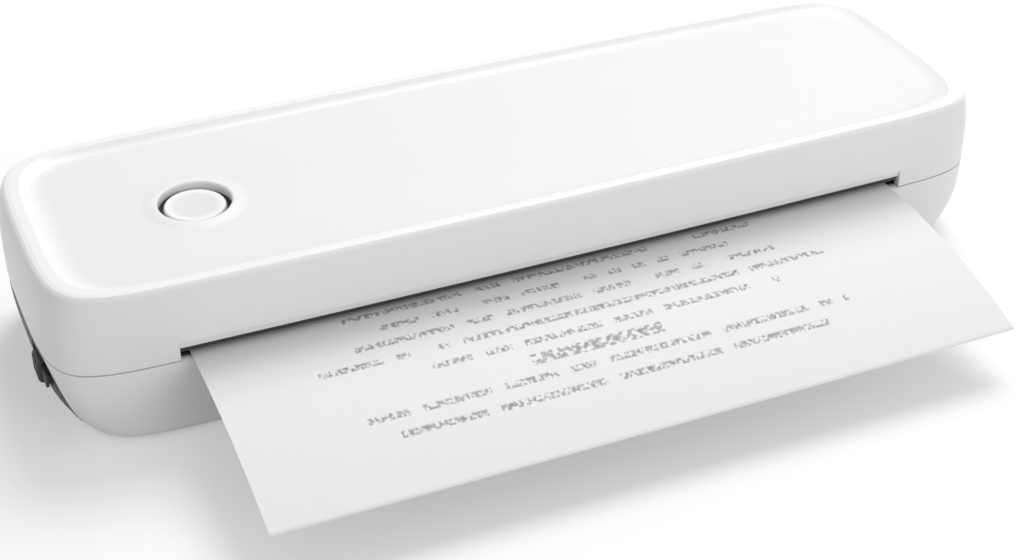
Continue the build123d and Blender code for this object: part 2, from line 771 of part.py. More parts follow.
def motor_screws():
    face = path_x + plate_outer
    screws = []
    for dy in (-5.6, 5.6):
        head = rod_x(face, face + 0.9, pinion_y + dy, pinion_z, 1.8)
        screws.append(head + rod_x(face - 5.0, face, pinion_y + dy, pinion_z, screw_radius))
    return group(screws)


# ---- sheet ------------------------------------------------------------------------------
def paper_sheet():
    """A sheet on its way out: flat through the printer, then drooping in one soft curve."""
    front = -half_width
    end = sheet_out / sheet_curl_radius
    outer = sheet_curl_radius - sheet_thickness
    centre_z = sheet_high - sheet_curl_radius

    def on_arc(radius, angle):
        return (front - radius * math.sin(angle), centre_z + radius * math.cos(angle))

    top = sheet_curl_radius
    edges = [Line((sheet_tail, sheet_low), (sheet_tail, sheet_high)),
             Line((sheet_tail, sheet_high), (front, sheet_high)),
             ThreePointArc((front, sheet_high), on_arc(top, end / 2), on_arc(top, end)),
             Line(on_arc(top, end), on_arc(outer, end)),
             ThreePointArc(on_arc(outer, end), on_arc(outer, end / 2), (front, sheet_low)),
             Line((front, sheet_low), (sheet_tail, sheet_low))]
    face = make_face(Wire(edges))
    return Pos(path_x - sheet_width / 2, 0, 0) * extrude(Plane.YZ * face, sheet_width)


# ---- top cover --------------------------------------------------------------------------
def cover_posts():
    """Posts under the top panel: (x, y, lower end)."""
    span = head_half - 22.0
    bracket = [(path_x + x, platen_y + 2.0, bracket_top) for x in steps(-span, span, 4)]
    board = [(button_x + x, y, cover_board_top) for x in (-21.6, 24.4) for y in (-2.4, 12.0)]
    span = head_half - 26.0
    guide = [(path_x + x, half_width - 14.7, sheet_high + guide_clear + 1.5)
             for x in steps(-span, span, 3)]
    return bracket, board, guide


def top_cover():
    shell = stack(steps(cover_low, height - rim_edge, 8))
    edge_low = height - rim_edge
    edge_mid = height - 0.3 * rim_edge
    shell += loft([plan_face(edge_low), plan_face(edge_mid, 0.28 * rim_edge)], ruled=True)
    shell += loft([plan_face(edge_mid, 0.28 * rim_edge), plan_face(height, rim_edge)],
                  ruled=True)
    cavity = stack(steps(cover_low - 1.0, ceiling, 6), wall)
    cover = shell - cavity

    rim_in = rim_edge + rim_flat
    sink = []
    for share in (0.0, 0.3, 0.65, 1.0):                   # the sunken panel's soft slope
        drop = recess_depth * (1 - (1 - share) ** 2)
        z = height - drop
        sink.append(plan_face(z, rim_in + recess_slope_side * share,
                              rim_in + recess_slope_end * share, lean_z=height))
    cover -= loft(sink)
    cover -= extrude(plan_face(height, rim_in, lean_z=height), 3.0)

    half_crest = (collar_crest + collar_radius) / 2
    collar = make_face(Wire([
        Line((button_hole - 1, -1), (button_hole - 1, collar_rise)),
        Line((button_hole - 1, collar_rise), (collar_crest, collar_rise)),
        Spline((collar_crest, collar_rise), (half_crest, collar_rise * 0.45), (collar_radius, 0),
               tangents=[(1, 0), (1, -0.02)]),
        Line((collar_radius, 0), (collar_radius, -1)),
        Line((collar_radius, -1), (button_hole - 1, -1))]))
    cover += Pos(button_x, button_y, panel_top) * revolve(Plane.XZ * collar, Axis.Z)
    boss_low = ceiling - boss_depth
    cover += rod_z(button_x, button_y, boss_low, ceiling + 0.5, button_hole + 2.6)
    ledge = panel_top - groove_depth
    cover -= rod_z(button_x, button_y, ledge, height, button_hole)
    crest = panel_top + collar_rise
    edge = Pos(button_x, button_y, crest - collar_edge / 2) * Cone(
        button_hole, button_hole + collar_edge, collar_edge)
    cover -= edge
    cover -= rod_z(button_x, button_y, boss_low - 1, height, button_radius + button_run)
    cover -= rod_z(button_x, button_y, boss_low - 1, ledge - 1.2, button_radius + 1.7)

    half = slot_width / 2
    front = -half_width
    cover -= block(path_x - half, path_x + half, front - 5, front + wall + 1.5, cover_low - 1,
                   slot_top)
    under = slot_top - 0.5
    kept = loft([plan_face(under, lip_deep * (1 + 0.5 / lip_high)),
                 plan_face(slot_top + lip_high)], ruled=True)
    cover -= block(path_x - half, path_x + half, front - 5, front + 5, under,
                   slot_top + lip_high) - kept
    top = parting + inlet_height
    rear = half_width
    cover -= slab_x([(rear + 5, cover_low - 1), (rear + 5, top + 6.6), (rear - 1.6, top),
                     (rear - wall - 1.5, top), (rear - wall - 1.5, cover_low - 1)],
                    -inlet_half, inlet_half)

    notch_top = hinge_z + hinge_radius + hinge_gap
    for side in (-1, 1):
        x0 = side * (lug_inner - 0.6)
        x1 = side * (lug_outer + 0.6)
        cover -= block(x0, x1, hinge_y - 6.0, rear + 4, cover_low - 1, notch_top)
        a = side * knuckle_start
        b = side * knuckle_end
        arm = rod_x(a, b, hinge_y, hinge_z, hinge_radius)
        arm += block(a, b, hinge_y - hinge_radius, hinge_y + 1.6, hinge_z, notch_top + 3.0)
        arm += block(a, b, hinge_y - hinge_radius, rear - 1.0, notch_top, notch_top + 3.0)
        arm -= rod_x(a - side, b + side, hinge_y, hinge_z, hinge_pin_radius + hinge_fit)
        cover += arm
        rib = slab_x([(rear - 1.0, notch_top), (hinge_y - hinge_radius, notch_top),
                      (hinge_y - 9.0, ceiling + 0.5), (rear - 1.0, ceiling + 0.5)],
                     (a + b) / 2 - 1.0, (a + b) / 2 + 1.0)
        cover += rib

    bracket, board, guide = cover_posts()
    for x, y, low in bracket + board + guide:
        cover += rod_z(x, y, low, ceiling + 0.5, boss_radius)
        cover -= screw_hole(x, y, low - 1, low + 4.0)
    for x in (-48, 0, 48):                                # ribs under the top panel
        cover += block(path_x + x + 8, path_x + x + 9.2, 2.0, rear - 4.7, ceiling - 3.0,
                       ceiling + 0.5)
    for side in (-1, 1):                                  # seats of the catch clips
        y = clip_y + catch_thickness
        cover += block(side * catch_x - 3.6, side * catch_x + 3.6, y, y + 3.0,
                       ceiling - 12.0, ceiling + 0.5)
    return cover


def tear_bar():
    """A dark bar along the slot, under the cover's lip and up behind its front wall."""
    def ring(outer, low, high):
        inner = wall + tear_bar_sheet
        body = extrude(plan_face(low, outer), high - low)
        return body - extrude(plan_face(low - 1, inner), high - low + 2)

    low = slot_top - tear_bar_drop
    bar = ring(tear_bar_inset, low, slot_top) + ring(wall, slot_top - 0.5, slot_top + tear_bar_leg)
    reach = slot_width / 2 - 0.4
    return bar & block(path_x - reach, path_x + reach, -half_width - 2, -half_width + 8, low,
                       slot_top + tear_bar_leg)


def hinge_pins():
    pins = []
    for side in (-1, 1):
        pins.append(rod_x(side * (lug_inner + 0.4), side * (lug_outer - 1.4), hinge_y,
                          hinge_z, hinge_pin_radius))
    return group(pins)


def upper_paper_guide():
    low = sheet_high + guide_clear
    half = plate_inner - 1.4
    front = pivot_y + 4.5
    back = half_width - 7.7
    plate = block(path_x - half, path_x + half, front, back, low, low + 1.5)
    plate += slab_x([(back, low), (back + 3, low + 1.4), (back + 3, low + 2.6),
                     (back, low + 1.5)], path_x - half, path_x + half)
    for x in steps(9.0 - half, half - 9.0, 8):
        plate += block(path_x + x - 0.6, path_x + x + 0.6, front + 1, back - 11, low + 1.5,
                       low + 4.0)
    for x, y, z in cover_posts()[2]:
        plate -= screw_hole(x, y, low - 1, low + 3)
        plate -= rod_z(x, y, low - 1, low + 0.8, screw_head + 0.1)
    return plate


def cover_screws():
    """Screws that hold the guide, the head bracket and the board up to the cover's posts."""
    bracket, board, guide = cover_posts()
    screws = []
    for x, y, z in guide:
        base = z - 0.7
        screws.append(rod_z(x, y, base - 0.8, base, screw_head)
                      + rod_z(x, y, base, z + 3.6, screw_radius))
    for x, y, z in bracket:
        base = z - bracket_sheet
        screws.append(rod_z(x, y, base - 0.9, base, screw_head)
                      + rod_z(x, y, base, z + 3.6, screw_radius))
    for x, y, z in board:
        base = z - cover_board_thickness
        screws.append(rod_z(x, y, base - 0.9, base, screw_head)
                      + rod_z(x, y, base, z + 3.6, screw_radius))
    return group(screws)


# ---- print head -------------------------------------------------------------------------
def head_bracket():
    t = bracket_sheet
    web_y = head_back + 0.2
    x0, x1 = path_x - head_half, path_x + head_half
    lip_y = head_front - 1.0
    flange = block(x0, x1, lip_y, web_y + t, bracket_top - t, bracket_top)
    web = block(x0, x1, web_y, web_y + t, bracket_top - 5.0, bracket_top)
    lip = block(x0, x1, lip_y, lip_y + t, bracket_top - 3.8, bracket_top)
    part = flange + web + lip
    for side in (-1, 1):
        x = path_x + side * (head_half - 6.0)
        ear = slab_x([(web_y, bracket_top - t), (web_y, pivot_z - 1.4), (pivot_y - 1.6,
                     pivot_z - 2.9), (pivot_y + 1.6, pivot_z - 2.9), (pivot_y + 3.2,
                     pivot_z - 1.0), (pivot_y + 3.2, bracket_top - t)], x - t / 2, x + t / 2)
        part += ear
    part -= rod_x(x0 - 1, x1 + 1, pivot_y, pivot_z, pivot_radius)
    for x, y, z in cover_posts()[0]:
        part -= screw_hole(x, y, z - 3, z + 1)
    return part


def head_pivot_shaft():
    half = head_half - 4.0
    return rod_x(path_x - half, path_x + half, pivot_y, pivot_z, pivot_radius)


def head_heat_sink():
    low = head_low + glaze_height + head_plate_height
    x0, x1 = path_x - head_half, path_x + head_half
    bar = block(x0, x1, head_front, head_back, low, low + head_sink_height)
    for i in range(3):                                    # cooling grooves along the top
        y = head_front + 3.2 + 4.0 * i
        bar -= block(x0 - 1, x1 + 1, y, y + 1.6, low + head_sink_height - 1.5, low + 9)
    for side in (-1, 1):
        x = path_x + side * (head_half - 14.0)
        arm = rod_x(x - 4, x + 4, pivot_y, pivot_z, 2.9)
        arm += block(x - 4, x + 4, head_back - 1.0, pivot_y, pivot_z - 2.9, pivot_z + 0.6)
        bar += arm
        bar -= rod_x(x - 5, x + 5, pivot_y, pivot_z, pivot_radius + pivot_fit)
    return bar


def head_substrate():
    """The ceramic strip with the raised glaze line that prints."""
    low = head_low + glaze_height
    x0, x1 = path_x - head_half, path_x + head_half
    plate = block(x0, x1, head_front + 0.6, platen_y + 5.0, low, low + head_plate_height)
    bead = slab_x([(platen_y - 1.3, low), (platen_y - 0.5, head_low), (platen_y + 0.5,
                  head_low), (platen_y + 1.3, low)], path_x - 104.0, path_x + 104.0)
    return plate + bead


def head_driver_cover():
    low = head_low + glaze_height
    x0, x1 = path_x - head_half + 4.0, path_x + head_half - 4.0
    return slab_x([(platen_y + 5.2, low + head_plate_height), (platen_y + 5.2, low + 0.4),
                   (platen_y + 6.4, low - 0.1), (head_back - 0.4, low - 0.1),
                   (head_back - 0.4, low + head_plate_height)], x0, x1)


def head_spring():
    """A leaf spring with eight fingers that presses the head down on the platen."""
    top = bracket_top - bracket_sheet
    touch = head_low + glaze_height + head_plate_height + head_sink_height + 0.3
    root = platen_y + 5.4
    tip = platen_y - 2.2
    half = head_half - 28.0
    strip = block(path_x - half, path_x + half, root, root + 4.4, top - 0.5, top)
    for x in steps(6.0 - half, half - 6.0, 8):
        strip += slab_x([(root, top - 0.5), (root, top), (tip, touch + 0.7),
                         (tip - 2.2, touch + 1.6), (tip - 2.2, touch + 1.1), (tip, touch)],
                        path_x + x - 3, path_x + x + 3)
    return strip


# ---- board and button in the cover ------------------------------------------------------
def cover_board():
    top = cover_board_top
    board = block(button_x - 25.6, button_x + 82.4, pivot_y + 4.1, 16.0,
                  top - cover_board_thickness, top)
    for x, y, z in cover_posts()[1]:
        board -= screw_hole(x, y, top - 3, top + 1)
    return board


def power_switch():
    low = cover_board_top
    body = block(button_x - 3, button_x + 3, button_y - 3, button_y + 3, low, low + 1.6)
    return body + rod_z(button_x, button_y, low + 1.6, low + switch_height, 1.7)


def ribbon_connectors():
    """The ribbon's two sockets, one on the head and one under the cover board."""
    sink_top = head_low + glaze_height + head_plate_height + head_sink_height
    board_low = cover_board_top - cover_board_thickness
    x0 = ribbon_x - ribbon_margin
    x1 = ribbon_x + ribbon_width + ribbon_margin
    front = pivot_y + 4.3
    on_board = block(x0, x1, front, front + 4.2, board_low - 2.2, board_low)
    on_head = block(x0, x1, head_back - 2.2, head_back, sink_top, sink_top + 2.4)
    return on_board, on_head


def board_connector():
    return ribbon_connectors()[0]


def head_connector():
    return ribbon_connectors()[1]


def head_ribbon():
    sink_top = head_low + glaze_height + head_plate_height + head_sink_height
    z = sink_top + 1.6
    high = cover_board_top - cover_board_thickness - 1.1
    turn = pivot_y + 1.9
    end = pivot_y + 4.3
    profile = [(head_back, z - 0.15), (head_back + 1.6, z - 0.15), (turn, high - 0.15),
               (end, high - 0.15), (end, high + 0.15), (turn - 0.2, high + 0.15),
               (head_back + 1.4, z + 0.15), (head_back, z + 0.15)]
    return slab_x(profile, ribbon_x, ribbon_x + ribbon_width)


def button_seal():
    """A dark dust ring on the floor of the groove."""
    ledge = panel_top - groove_depth
    ring = rod_z(button_x, button_y, ledge, ledge + seal_thickness, button_hole - seal_fit)
    return ring - rod_z(button_x, button_y, ledge - 1, ledge + 2, button_radius + button_run)


def power_button():
    ledge = panel_top - groove_depth
    flange_top = ledge - 1.2 - 0.3
    cap_top = panel_top + collar_rise - cap_sunk
    cap = rod_z(button_x, button_y, flange_top - 0.2, cap_top, button_radius)
    cap = fillet(cap.faces().sort_by(Axis.Z)[-1].edges(), 0.6)
    hollow = (button_radius - 0.9) ** 2 / (2 * cap_dish) + cap_dish / 2
    cap -= Pos(button_x, button_y, cap_top + hollow - cap_dish) * Sphere(hollow)
    flange = rod_z(button_x, button_y, flange_top - 1.0, flange_top, button_radius + 1.3)
    stem_low = cover_board_top + switch_height + button_travel + 0.3
    stem = rod_z(button_x, button_y, stem_low, flange_top, 2.0)
    return cap + flange + stem


# ---- write every piece ------------------------------------------------------------------
pieces = {
    "bottom_case": bottom_case(),
    "rubber_feet": rubber_feet(),
    "port_panel": port_panel(),
    "usb_c_port": usb_c_port(),
    "control_board": control_board(),
    "board_components": board_components(),
    "board_supports": board_supports(),
    "board_screws": board_screws(),
    "battery_pack": battery_pack(),
    "left_side_plate": side_plate(-1),
    "right_side_plate": side_plate(1),
    "plate_screws": plate_screws(),
    "left_platen_bush": platen_bush(-1),
    "right_platen_bush": platen_bush(1),
    "front_paper_guide": front_paper_guide(),
    "rear_paper_guide": rear_paper_guide(),
    "guide_screws": guide_screws(),
    "paper_sensor": paper_sensor(),
    "drive_motor": drive_motor(),
    "motor_screws": motor_screws(),
    "idler_stud": idler_stud(),
    "idler_clip": idler_clip(),
    "latch_strikers": latch_strikers(),
    "slider_spring": slider_spring(),
    "hinge_pins": hinge_pins(),
    "release_slider": release_slider(),
    "platen_shaft": platen_shaft(),
    "platen_rubber": platen_rubber(),
    "platen_gear": platen_gear(),
    "platen_clip": platen_clip(),
    "idler_gear": idler_gear(),
    "motor_pinion": motor_pinion(),
    "motor_shaft": motor_shaft(),
    "paper_sheet": paper_sheet(),
    "top_cover": top_cover(),
    "tear_bar": tear_bar(),
    "upper_paper_guide": upper_paper_guide(),
    "cover_screws": cover_screws(),
    "cover_catches": cover_catches(),
    "head_bracket": head_bracket(),
    "head_pivot_shaft": head_pivot_shaft(),
    "head_spring": head_spring(),
    "cover_board": cover_board(),
    "power_switch": power_switch(),
    "board_connector": board_connector(),
    "head_ribbon": head_ribbon(),
    "head_heat_sink": head_heat_sink(),
    "head_substrate": head_substrate(),
    "head_driver_cover": head_driver_cover(),
    "head_connector": head_connector(),
    "button_seal": button_seal(),
    "power_button": power_button(),
}

os.makedirs("parts", exist_ok=True)
for name, piece in pieces.items():
    export_step(piece, f"parts/{name}.step")
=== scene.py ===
import json
import math

import bpy
import numpy as np
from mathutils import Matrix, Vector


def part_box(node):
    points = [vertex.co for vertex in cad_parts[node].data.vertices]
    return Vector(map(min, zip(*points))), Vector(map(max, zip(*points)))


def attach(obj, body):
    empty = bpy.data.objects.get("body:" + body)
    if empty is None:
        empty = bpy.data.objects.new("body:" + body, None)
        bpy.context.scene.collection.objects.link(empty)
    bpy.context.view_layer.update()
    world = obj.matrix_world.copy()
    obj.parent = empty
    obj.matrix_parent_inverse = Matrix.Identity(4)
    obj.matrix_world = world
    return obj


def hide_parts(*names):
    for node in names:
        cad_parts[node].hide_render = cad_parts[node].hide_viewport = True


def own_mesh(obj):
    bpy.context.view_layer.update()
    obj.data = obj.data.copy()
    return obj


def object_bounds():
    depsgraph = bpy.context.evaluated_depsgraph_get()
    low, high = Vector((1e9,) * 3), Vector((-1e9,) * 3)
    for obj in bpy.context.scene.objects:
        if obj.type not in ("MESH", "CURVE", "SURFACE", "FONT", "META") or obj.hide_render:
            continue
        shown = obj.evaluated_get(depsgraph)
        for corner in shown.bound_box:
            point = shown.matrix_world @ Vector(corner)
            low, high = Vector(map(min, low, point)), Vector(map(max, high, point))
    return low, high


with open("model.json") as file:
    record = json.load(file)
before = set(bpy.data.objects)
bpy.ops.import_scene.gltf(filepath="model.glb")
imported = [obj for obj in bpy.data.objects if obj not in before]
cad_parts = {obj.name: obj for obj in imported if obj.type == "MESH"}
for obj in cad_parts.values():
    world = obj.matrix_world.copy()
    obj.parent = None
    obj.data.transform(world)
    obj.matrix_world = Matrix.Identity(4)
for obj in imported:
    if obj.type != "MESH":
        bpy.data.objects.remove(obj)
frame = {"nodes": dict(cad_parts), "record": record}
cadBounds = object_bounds()
print("frame loaded")

mm = 0.001

# the camera stands where the photographed outline puts it
view = {"place": (-0.18556, -0.43188, 0.30819), "yaw": 23.58, "down": 33.78, "lens": 66.42,
        "sensor": 36.0, "near": 0.01}

camera = bpy.data.objects.new("viewCamera", bpy.data.cameras.new("viewCamera"))
camera.data.lens = view["lens"]
camera.data.sensor_width = view["sensor"]
camera.data.clip_start = view["near"]
camera.location = view["place"]
camera.rotation_euler = (math.radians(90 - view["down"]), 0, -math.radians(view["yaw"]))
bpy.context.scene.collection.objects.link(camera)
bpy.context.scene.camera = camera


def put(tree, kind, settings=None, sockets=None):
    # a node with its settings, and each socket either linked or given a value
    node = tree.nodes.new(kind)
    for key, value in (settings or {}).items():
        setattr(node, key, value)
    for key, value in (sockets or {}).items():
        if isinstance(value, bpy.types.NodeSocket):
            tree.links.new(value, node.inputs[key])
        else:
            node.inputs[key].default_value = value
    return node


def sums(tree, operation, *values):
    return put(tree, "ShaderNodeMath", {"operation": operation}, dict(enumerate(values))).outputs[0]


def blendColours(tree, share, first, second):
    pair = [value if isinstance(value, bpy.types.NodeSocket) else (*value, 1) for value in (first, second)]
    return put(tree, "ShaderNodeMix", {"data_type": "RGBA"}, {0: share, 6: pair[0], 7: pair[1]}).outputs[2]


def blendValues(tree, share, first, second):
    return put(tree, "ShaderNodeMix", {"data_type": "FLOAT"}, {0: share, 2: first, 3: second}).outputs[0]


def spread(tree, value, low, high, fromLow=0.3, fromHigh=0.7):
    # noise mostly lies between 0.3 and 0.7, so that reach is spread over low to high
    return put(tree, "ShaderNodeMapRange", {}, {"Value": value, "From Min": fromLow, "From Max": fromHigh,
                                                "To Min": low, "To Max": high}).outputs[0]


def noise(tree, where, scale, detail=3.0, roughness=0.5):
    return put(tree, "ShaderNodeTexNoise", {}, {"Vector": where, "Scale": scale, "Detail": detail,
                                                "Roughness": roughness}).outputs[0]


def stretch(tree, where, scale):
    return put(tree, "ShaderNodeMapping", {}, {"Vector": where, "Scale": scale}).outputs[0]


def axesOf(tree, where):
    return put(tree, "ShaderNodeSeparateXYZ", {}, {0: where}).outputs


def between(tree, value, low, high):
    # 1 where low < value < high
    above = sums(tree, "GREATER_THAN", value, low)
    return sums(tree, "MULTIPLY", above, sums(tree, "LESS_THAN", value, high))


def sawtooth(tree, value, pitch):
    # runs from 0 to 1 again and again, pitch times in a metre
    return sums(tree, "FRACT", sums(tree, "MULTIPLY", value, pitch))


def blankFinish(name, look):
    finish = bpy.data.materials.new(name)
    finish.use_nodes = True
    tree = finish.node_tree
    shader = tree.nodes["Principled BSDF"]
    for socket, value in look.get("sockets", {}).items():
        shader.inputs[socket].default_value = value
    where = put(tree, "ShaderNodeTexCoord").outputs["Object"]
    return finish, tree, shader, where


def wire(tree, shader, sockets):
    for socket, value in sockets.items():
        tree.links.new(value, shader.inputs[socket])


def raiseGrain(tree, shader, layers, edge=0.0, samples=4):
    # bumps on bumps: each layer is (height, distance); edge rounds the hard corners a little
    normal = put(tree, "ShaderNodeBevel", {"samples": samples}, {"Radius": edge}).outputs[0] if edge else None
    for height, distance in layers:
        sockets = {"Height": height, "Distance": distance}
        if normal is not None:
            sockets["Normal"] = normal
        normal = put(tree, "ShaderNodeBump", {}, sockets).outputs[0]
    wire(tree, shader, {"Normal": normal})


# studio: a pale floor, soft air, a large lamp high behind and a weaker one low in front on the right
studio = {
    "floorSize": 30.0,
    "floorColour": (0.72, 0.72, 0.72),
    "floorRoughness": 0.9,
    "floorLift": (0.3, 0.62),          # near and far, seen by the camera and in reflections only
    "floorReach": (0.35, 1.4),         # metres from the middle over which the lift grows
    "floorGap": 0.00002,               # keeps the floor off the pads that stand on it
    "airLevel": 0.5,
    "aim": (0.0, 0.0, 0.02),
    "lamps": {
        "key": {"place": (0.75, 0.8, 1.6), "size": 1.2, "power": 22.5},
        "fill": {"place": (0.45, -1.4, 0.42), "size": 1.0, "power": 5.6},
    },
}


def seenDirectly(tree):
    path = put(tree, "ShaderNodeLightPath").outputs
    mirrored = sums(tree, "MAXIMUM", path["Is Glossy Ray"], path["Is Transmission Ray"])
    return sums(tree, "MAXIMUM", path["Is Camera Ray"], mirrored)


def makeAir():
    world = bpy.data.worlds.new("studioAir")
    bpy.context.scene.world = world
    world.use_nodes = True
    tree = world.node_tree
    air = tree.nodes["Background"]
    air.inputs["Color"].default_value = (1, 1, 1, 1)
    air.inputs["Strength"].default_value = studio["airLevel"]
    seen = put(tree, "ShaderNodeBackground", {}, {"Color": (1, 1, 1, 1), "Strength": 1.0})
    mix = put(tree, "ShaderNodeMixShader", {}, {0: seenDirectly(tree), 1: air.outputs[0], 2: seen.outputs[0]})
    tree.links.new(mix.outputs[0], tree.nodes["World Output"].inputs["Surface"])


def makeFloor():
    half = studio["floorSize"] / 2
    low = cadBounds[0][2] - studio["floorGap"]
    mesh = bpy.data.meshes.new("floor")
    mesh.from_pydata([(-half, -half, low), (half, -half, low), (half, half, low), (-half, half, low)],
                     [], [(0, 1, 2, 3)])
    floor = bpy.data.objects.new("floor", mesh)
    bpy.context.scene.collection.objects.link(floor)
    finish, tree, shader, where = blankFinish("floorWhite", {"sockets": {
        "Base Color": (*studio["floorColour"], 1), "Roughness": studio["floorRoughness"],
        "Specular IOR Level": 0.0, "Emission Color": (1, 1, 1, 1)}})
    away = put(tree, "ShaderNodeVectorMath", {"operation": "LENGTH"}, {0: where}).outputs["Value"]
    lift = spread(tree, away, *studio["floorLift"], *studio["floorReach"])
    wire(tree, shader, {"Emission Strength": sums(tree, "MULTIPLY", seenDirectly(tree), lift)})
    mesh.materials.append(finish)


def makeLamp(name, look):
    lamp = bpy.data.lights.new(name, "AREA")
    lamp.shape = "DISK"
    lamp.size = look["size"]
    lamp.energy = look["power"]
    stand = bpy.data.objects.new(name, lamp)
    stand.location = look["place"]
    away = np.array(look["place"]) - np.array(studio["aim"])
    stand.rotation_euler = (math.atan2(math.hypot(away[0], away[1]), away[2]), 0,
                            math.atan2(away[1], away[0]) + math.pi / 2)
    bpy.context.scene.collection.objects.link(stand)


makeAir()
makeFloor()
for name, look in studio["lamps"].items():
    makeLamp(name, look)
bpy.context.scene.view_settings.view_transform = "Standard"
print("studio set")

# moulded finishes: two close colours in soft patches, a fine eroded grain and uneven gloss; on the shell and
# the button a painted highlight lightens the colour near the top
mouldings = {
    # white shell plastic; from 43.9 to 44.6 mm up the colour turns lighter, a painted highlight along the top
    # of the rim
    "case_plastic": {"colour": (0.845, 0.845, 0.85), "second": (0.825, 0.825, 0.833), "patch": 9.0,
                     "gloss": (0.34, 0.42), "grain": 2400.0, "depth": 0.000004, "flow": 0.000010,
                     "edge": 0.00035, "crest": (0.0439, 0.0446), "crestColour": (0.90, 0.90, 0.905)},
    # button plastic; from 42.84 to 42.94 mm up, at the cap's rounded edge, the colour turns lighter, a
    # painted highlight
    "button_plastic": {"colour": (0.82, 0.82, 0.825), "second": (0.80, 0.80, 0.807), "patch": 60.0,
                       "gloss": (0.3, 0.38), "grain": 3000.0, "depth": 0.000003, "flow": 0.000004,
                       "edge": 0.0, "crest": (0.04284, 0.04294), "crestColour": (0.94, 0.94, 0.94)},
    "dark_plastic": {"colour": (0.020, 0.020, 0.022), "second": (0.032, 0.032, 0.034), "patch": 40.0,
                     "gloss": (0.42, 0.58), "grain": 1500.0, "depth": 0.000014, "flow": 0.0,
                     "edge": 0.0002},
    "guide_plastic": {"colour": (0.030, 0.031, 0.034), "second": (0.044, 0.045, 0.049), "patch": 24.0,
                      "gloss": (0.34, 0.52), "grain": 1200.0, "depth": 0.000016, "flow": 0.00001,
                      "edge": 0.0002},
    "gear_plastic": {"colour": (0.80, 0.77, 0.69), "second": (0.74, 0.70, 0.60), "patch": 120.0,
                     "gloss": (0.28, 0.42), "grain": 900.0, "depth": 0.000006, "flow": 0.0,
                     "edge": 0.0001, "sockets": {"Subsurface Weight": 0.15, "Subsurface Scale": 0.0012}},
    "bush_plastic": {"colour": (0.10, 0.085, 0.06), "second": (0.14, 0.12, 0.09), "patch": 200.0,
                     "gloss": (0.4, 0.55), "grain": 2600.0, "depth": 0.00001, "flow": 0.0,
                     "edge": 0.0001},
    # black rubber of the feet; the same finish covers the seal ring in the button's gap, which stands in for
    # the shade there and is made extra dark, painted shade
    "foot_rubber": {"colour": (0.008, 0.008, 0.0085), "second": (0.016, 0.016, 0.0165), "patch": 300.0,
                    "gloss": (0.75, 0.92), "grain": 1700.0, "depth": 0.00004, "flow": 0.0,
                    "edge": 0.0, "sockets": {"Specular IOR Level": 0.3, "Sheen Weight": 0.15}},
    "chip_plastic": {"colour": (0.022, 0.022, 0.023), "second": (0.034, 0.034, 0.035), "patch": 500.0,
                     "gloss": (0.5, 0.66), "grain": 3200.0, "depth": 0.00001, "flow": 0.0,
                     "edge": 0.0001},
    "connector_plastic": {"colour": (0.74, 0.71, 0.63), "second": (0.70, 0.66, 0.56), "patch": 150.0,
                          "gloss": (0.36, 0.5), "grain": 2000.0, "depth": 0.000008, "flow": 0.0,
                          "edge": 0.0001},
}
mouldedWear = {"patchDetail": 4.0, "smearScale": 5, "smearDetail": 5.0, "smearRoughness": 0.65,
               "grainDetail": 2.0, "flowStretch": (9, 30, 30)}


def mouldedFinish(name, look):
    wear = mouldedWear
    finish, tree, shader, where = blankFinish(name, look)
    patches = noise(tree, where, look["patch"], wear["patchDetail"])
    colour = blendColours(tree, patches, look["colour"], look["second"])
    if "crest" in look:                # painted highlight: between these heights the colour is lightened, standing in for the light that the top of a rim catches
        above = spread(tree, axesOf(tree, where)[2], 0.0, 1.0, *look["crest"])
        colour = blendColours(tree, above, colour, look["crestColour"])
    smears = noise(tree, where, look["patch"] * wear["smearScale"], wear["smearDetail"],
                   wear["smearRoughness"])
    wire(tree, shader, {"Base Color": colour, "Roughness": spread(tree, smears, *look["gloss"])})
    layers = [(noise(tree, where, look["grain"], wear["grainDetail"]), look["depth"])]
    if look["flow"]:                   # the slow waviness that the melt leaves on large walls
        waves = noise(tree, stretch(tree, where, wear["flowStretch"]), 1.0, wear["grainDetail"])
        layers.append((waves, look["flow"]))
    raiseGrain(tree, shader, layers, look["edge"])
    return finish


# metals: drawn or rolled lines, stains and tiny dents
metals = {
    "steel": {"colour": (0.60, 0.60, 0.61), "second": (0.50, 0.50, 0.52), "lines": (60, 1600, 1600),
              "gloss": (0.24, 0.42), "depth": 0.000006, "patch": 90.0},
    "spring_steel": {"colour": (0.44, 0.43, 0.42), "second": (0.36, 0.34, 0.32), "lines": (1600, 60, 60),
                     "gloss": (0.2, 0.34), "depth": 0.000004, "patch": 140.0},
    "brass": {"colour": (0.78, 0.57, 0.25), "second": (0.68, 0.47, 0.19), "lines": (90, 2200, 2200),
              "gloss": (0.2, 0.36), "depth": 0.000005, "patch": 200.0},
    "head_aluminium": {"colour": (0.72, 0.73, 0.74), "second": (0.64, 0.65, 0.67),
                       "lines": (20, 1400, 1400), "gloss": (0.3, 0.46), "depth": 0.000010, "patch": 50.0},
}
metalWear = {"lineDetail": 4.0, "stainDetail": 5.0, "roughness": 0.6, "lineShare": 0.6, "stainShare": 0.4,
             "stainDepth": 2, "edge": 0.00012}


def metalFinish(name, look):
    wear = metalWear
    finish, tree, shader, where = blankFinish(name, look)
    shader.inputs["Metallic"].default_value = 1.0
    lines = noise(tree, stretch(tree, where, look["lines"]), 1.0, wear["lineDetail"], wear["roughness"])
    stains = noise(tree, where, look["patch"], wear["stainDetail"], wear["roughness"])
    worn = sums(tree, "MULTIPLY_ADD", lines, wear["lineShare"],
                sums(tree, "MULTIPLY", stains, wear["stainShare"]))
    streaks = sums(tree, "MULTIPLY", stains, lines)
    wire(tree, shader, {"Base Color": blendColours(tree, streaks, look["colour"], look["second"]),
                        "Roughness": spread(tree, worn, *look["gloss"])})
    layers = [(lines, look["depth"]), (stains, look["depth"] * wear["stainDepth"])]
    raiseGrain(tree, shader, layers, wear["edge"])
    return finish
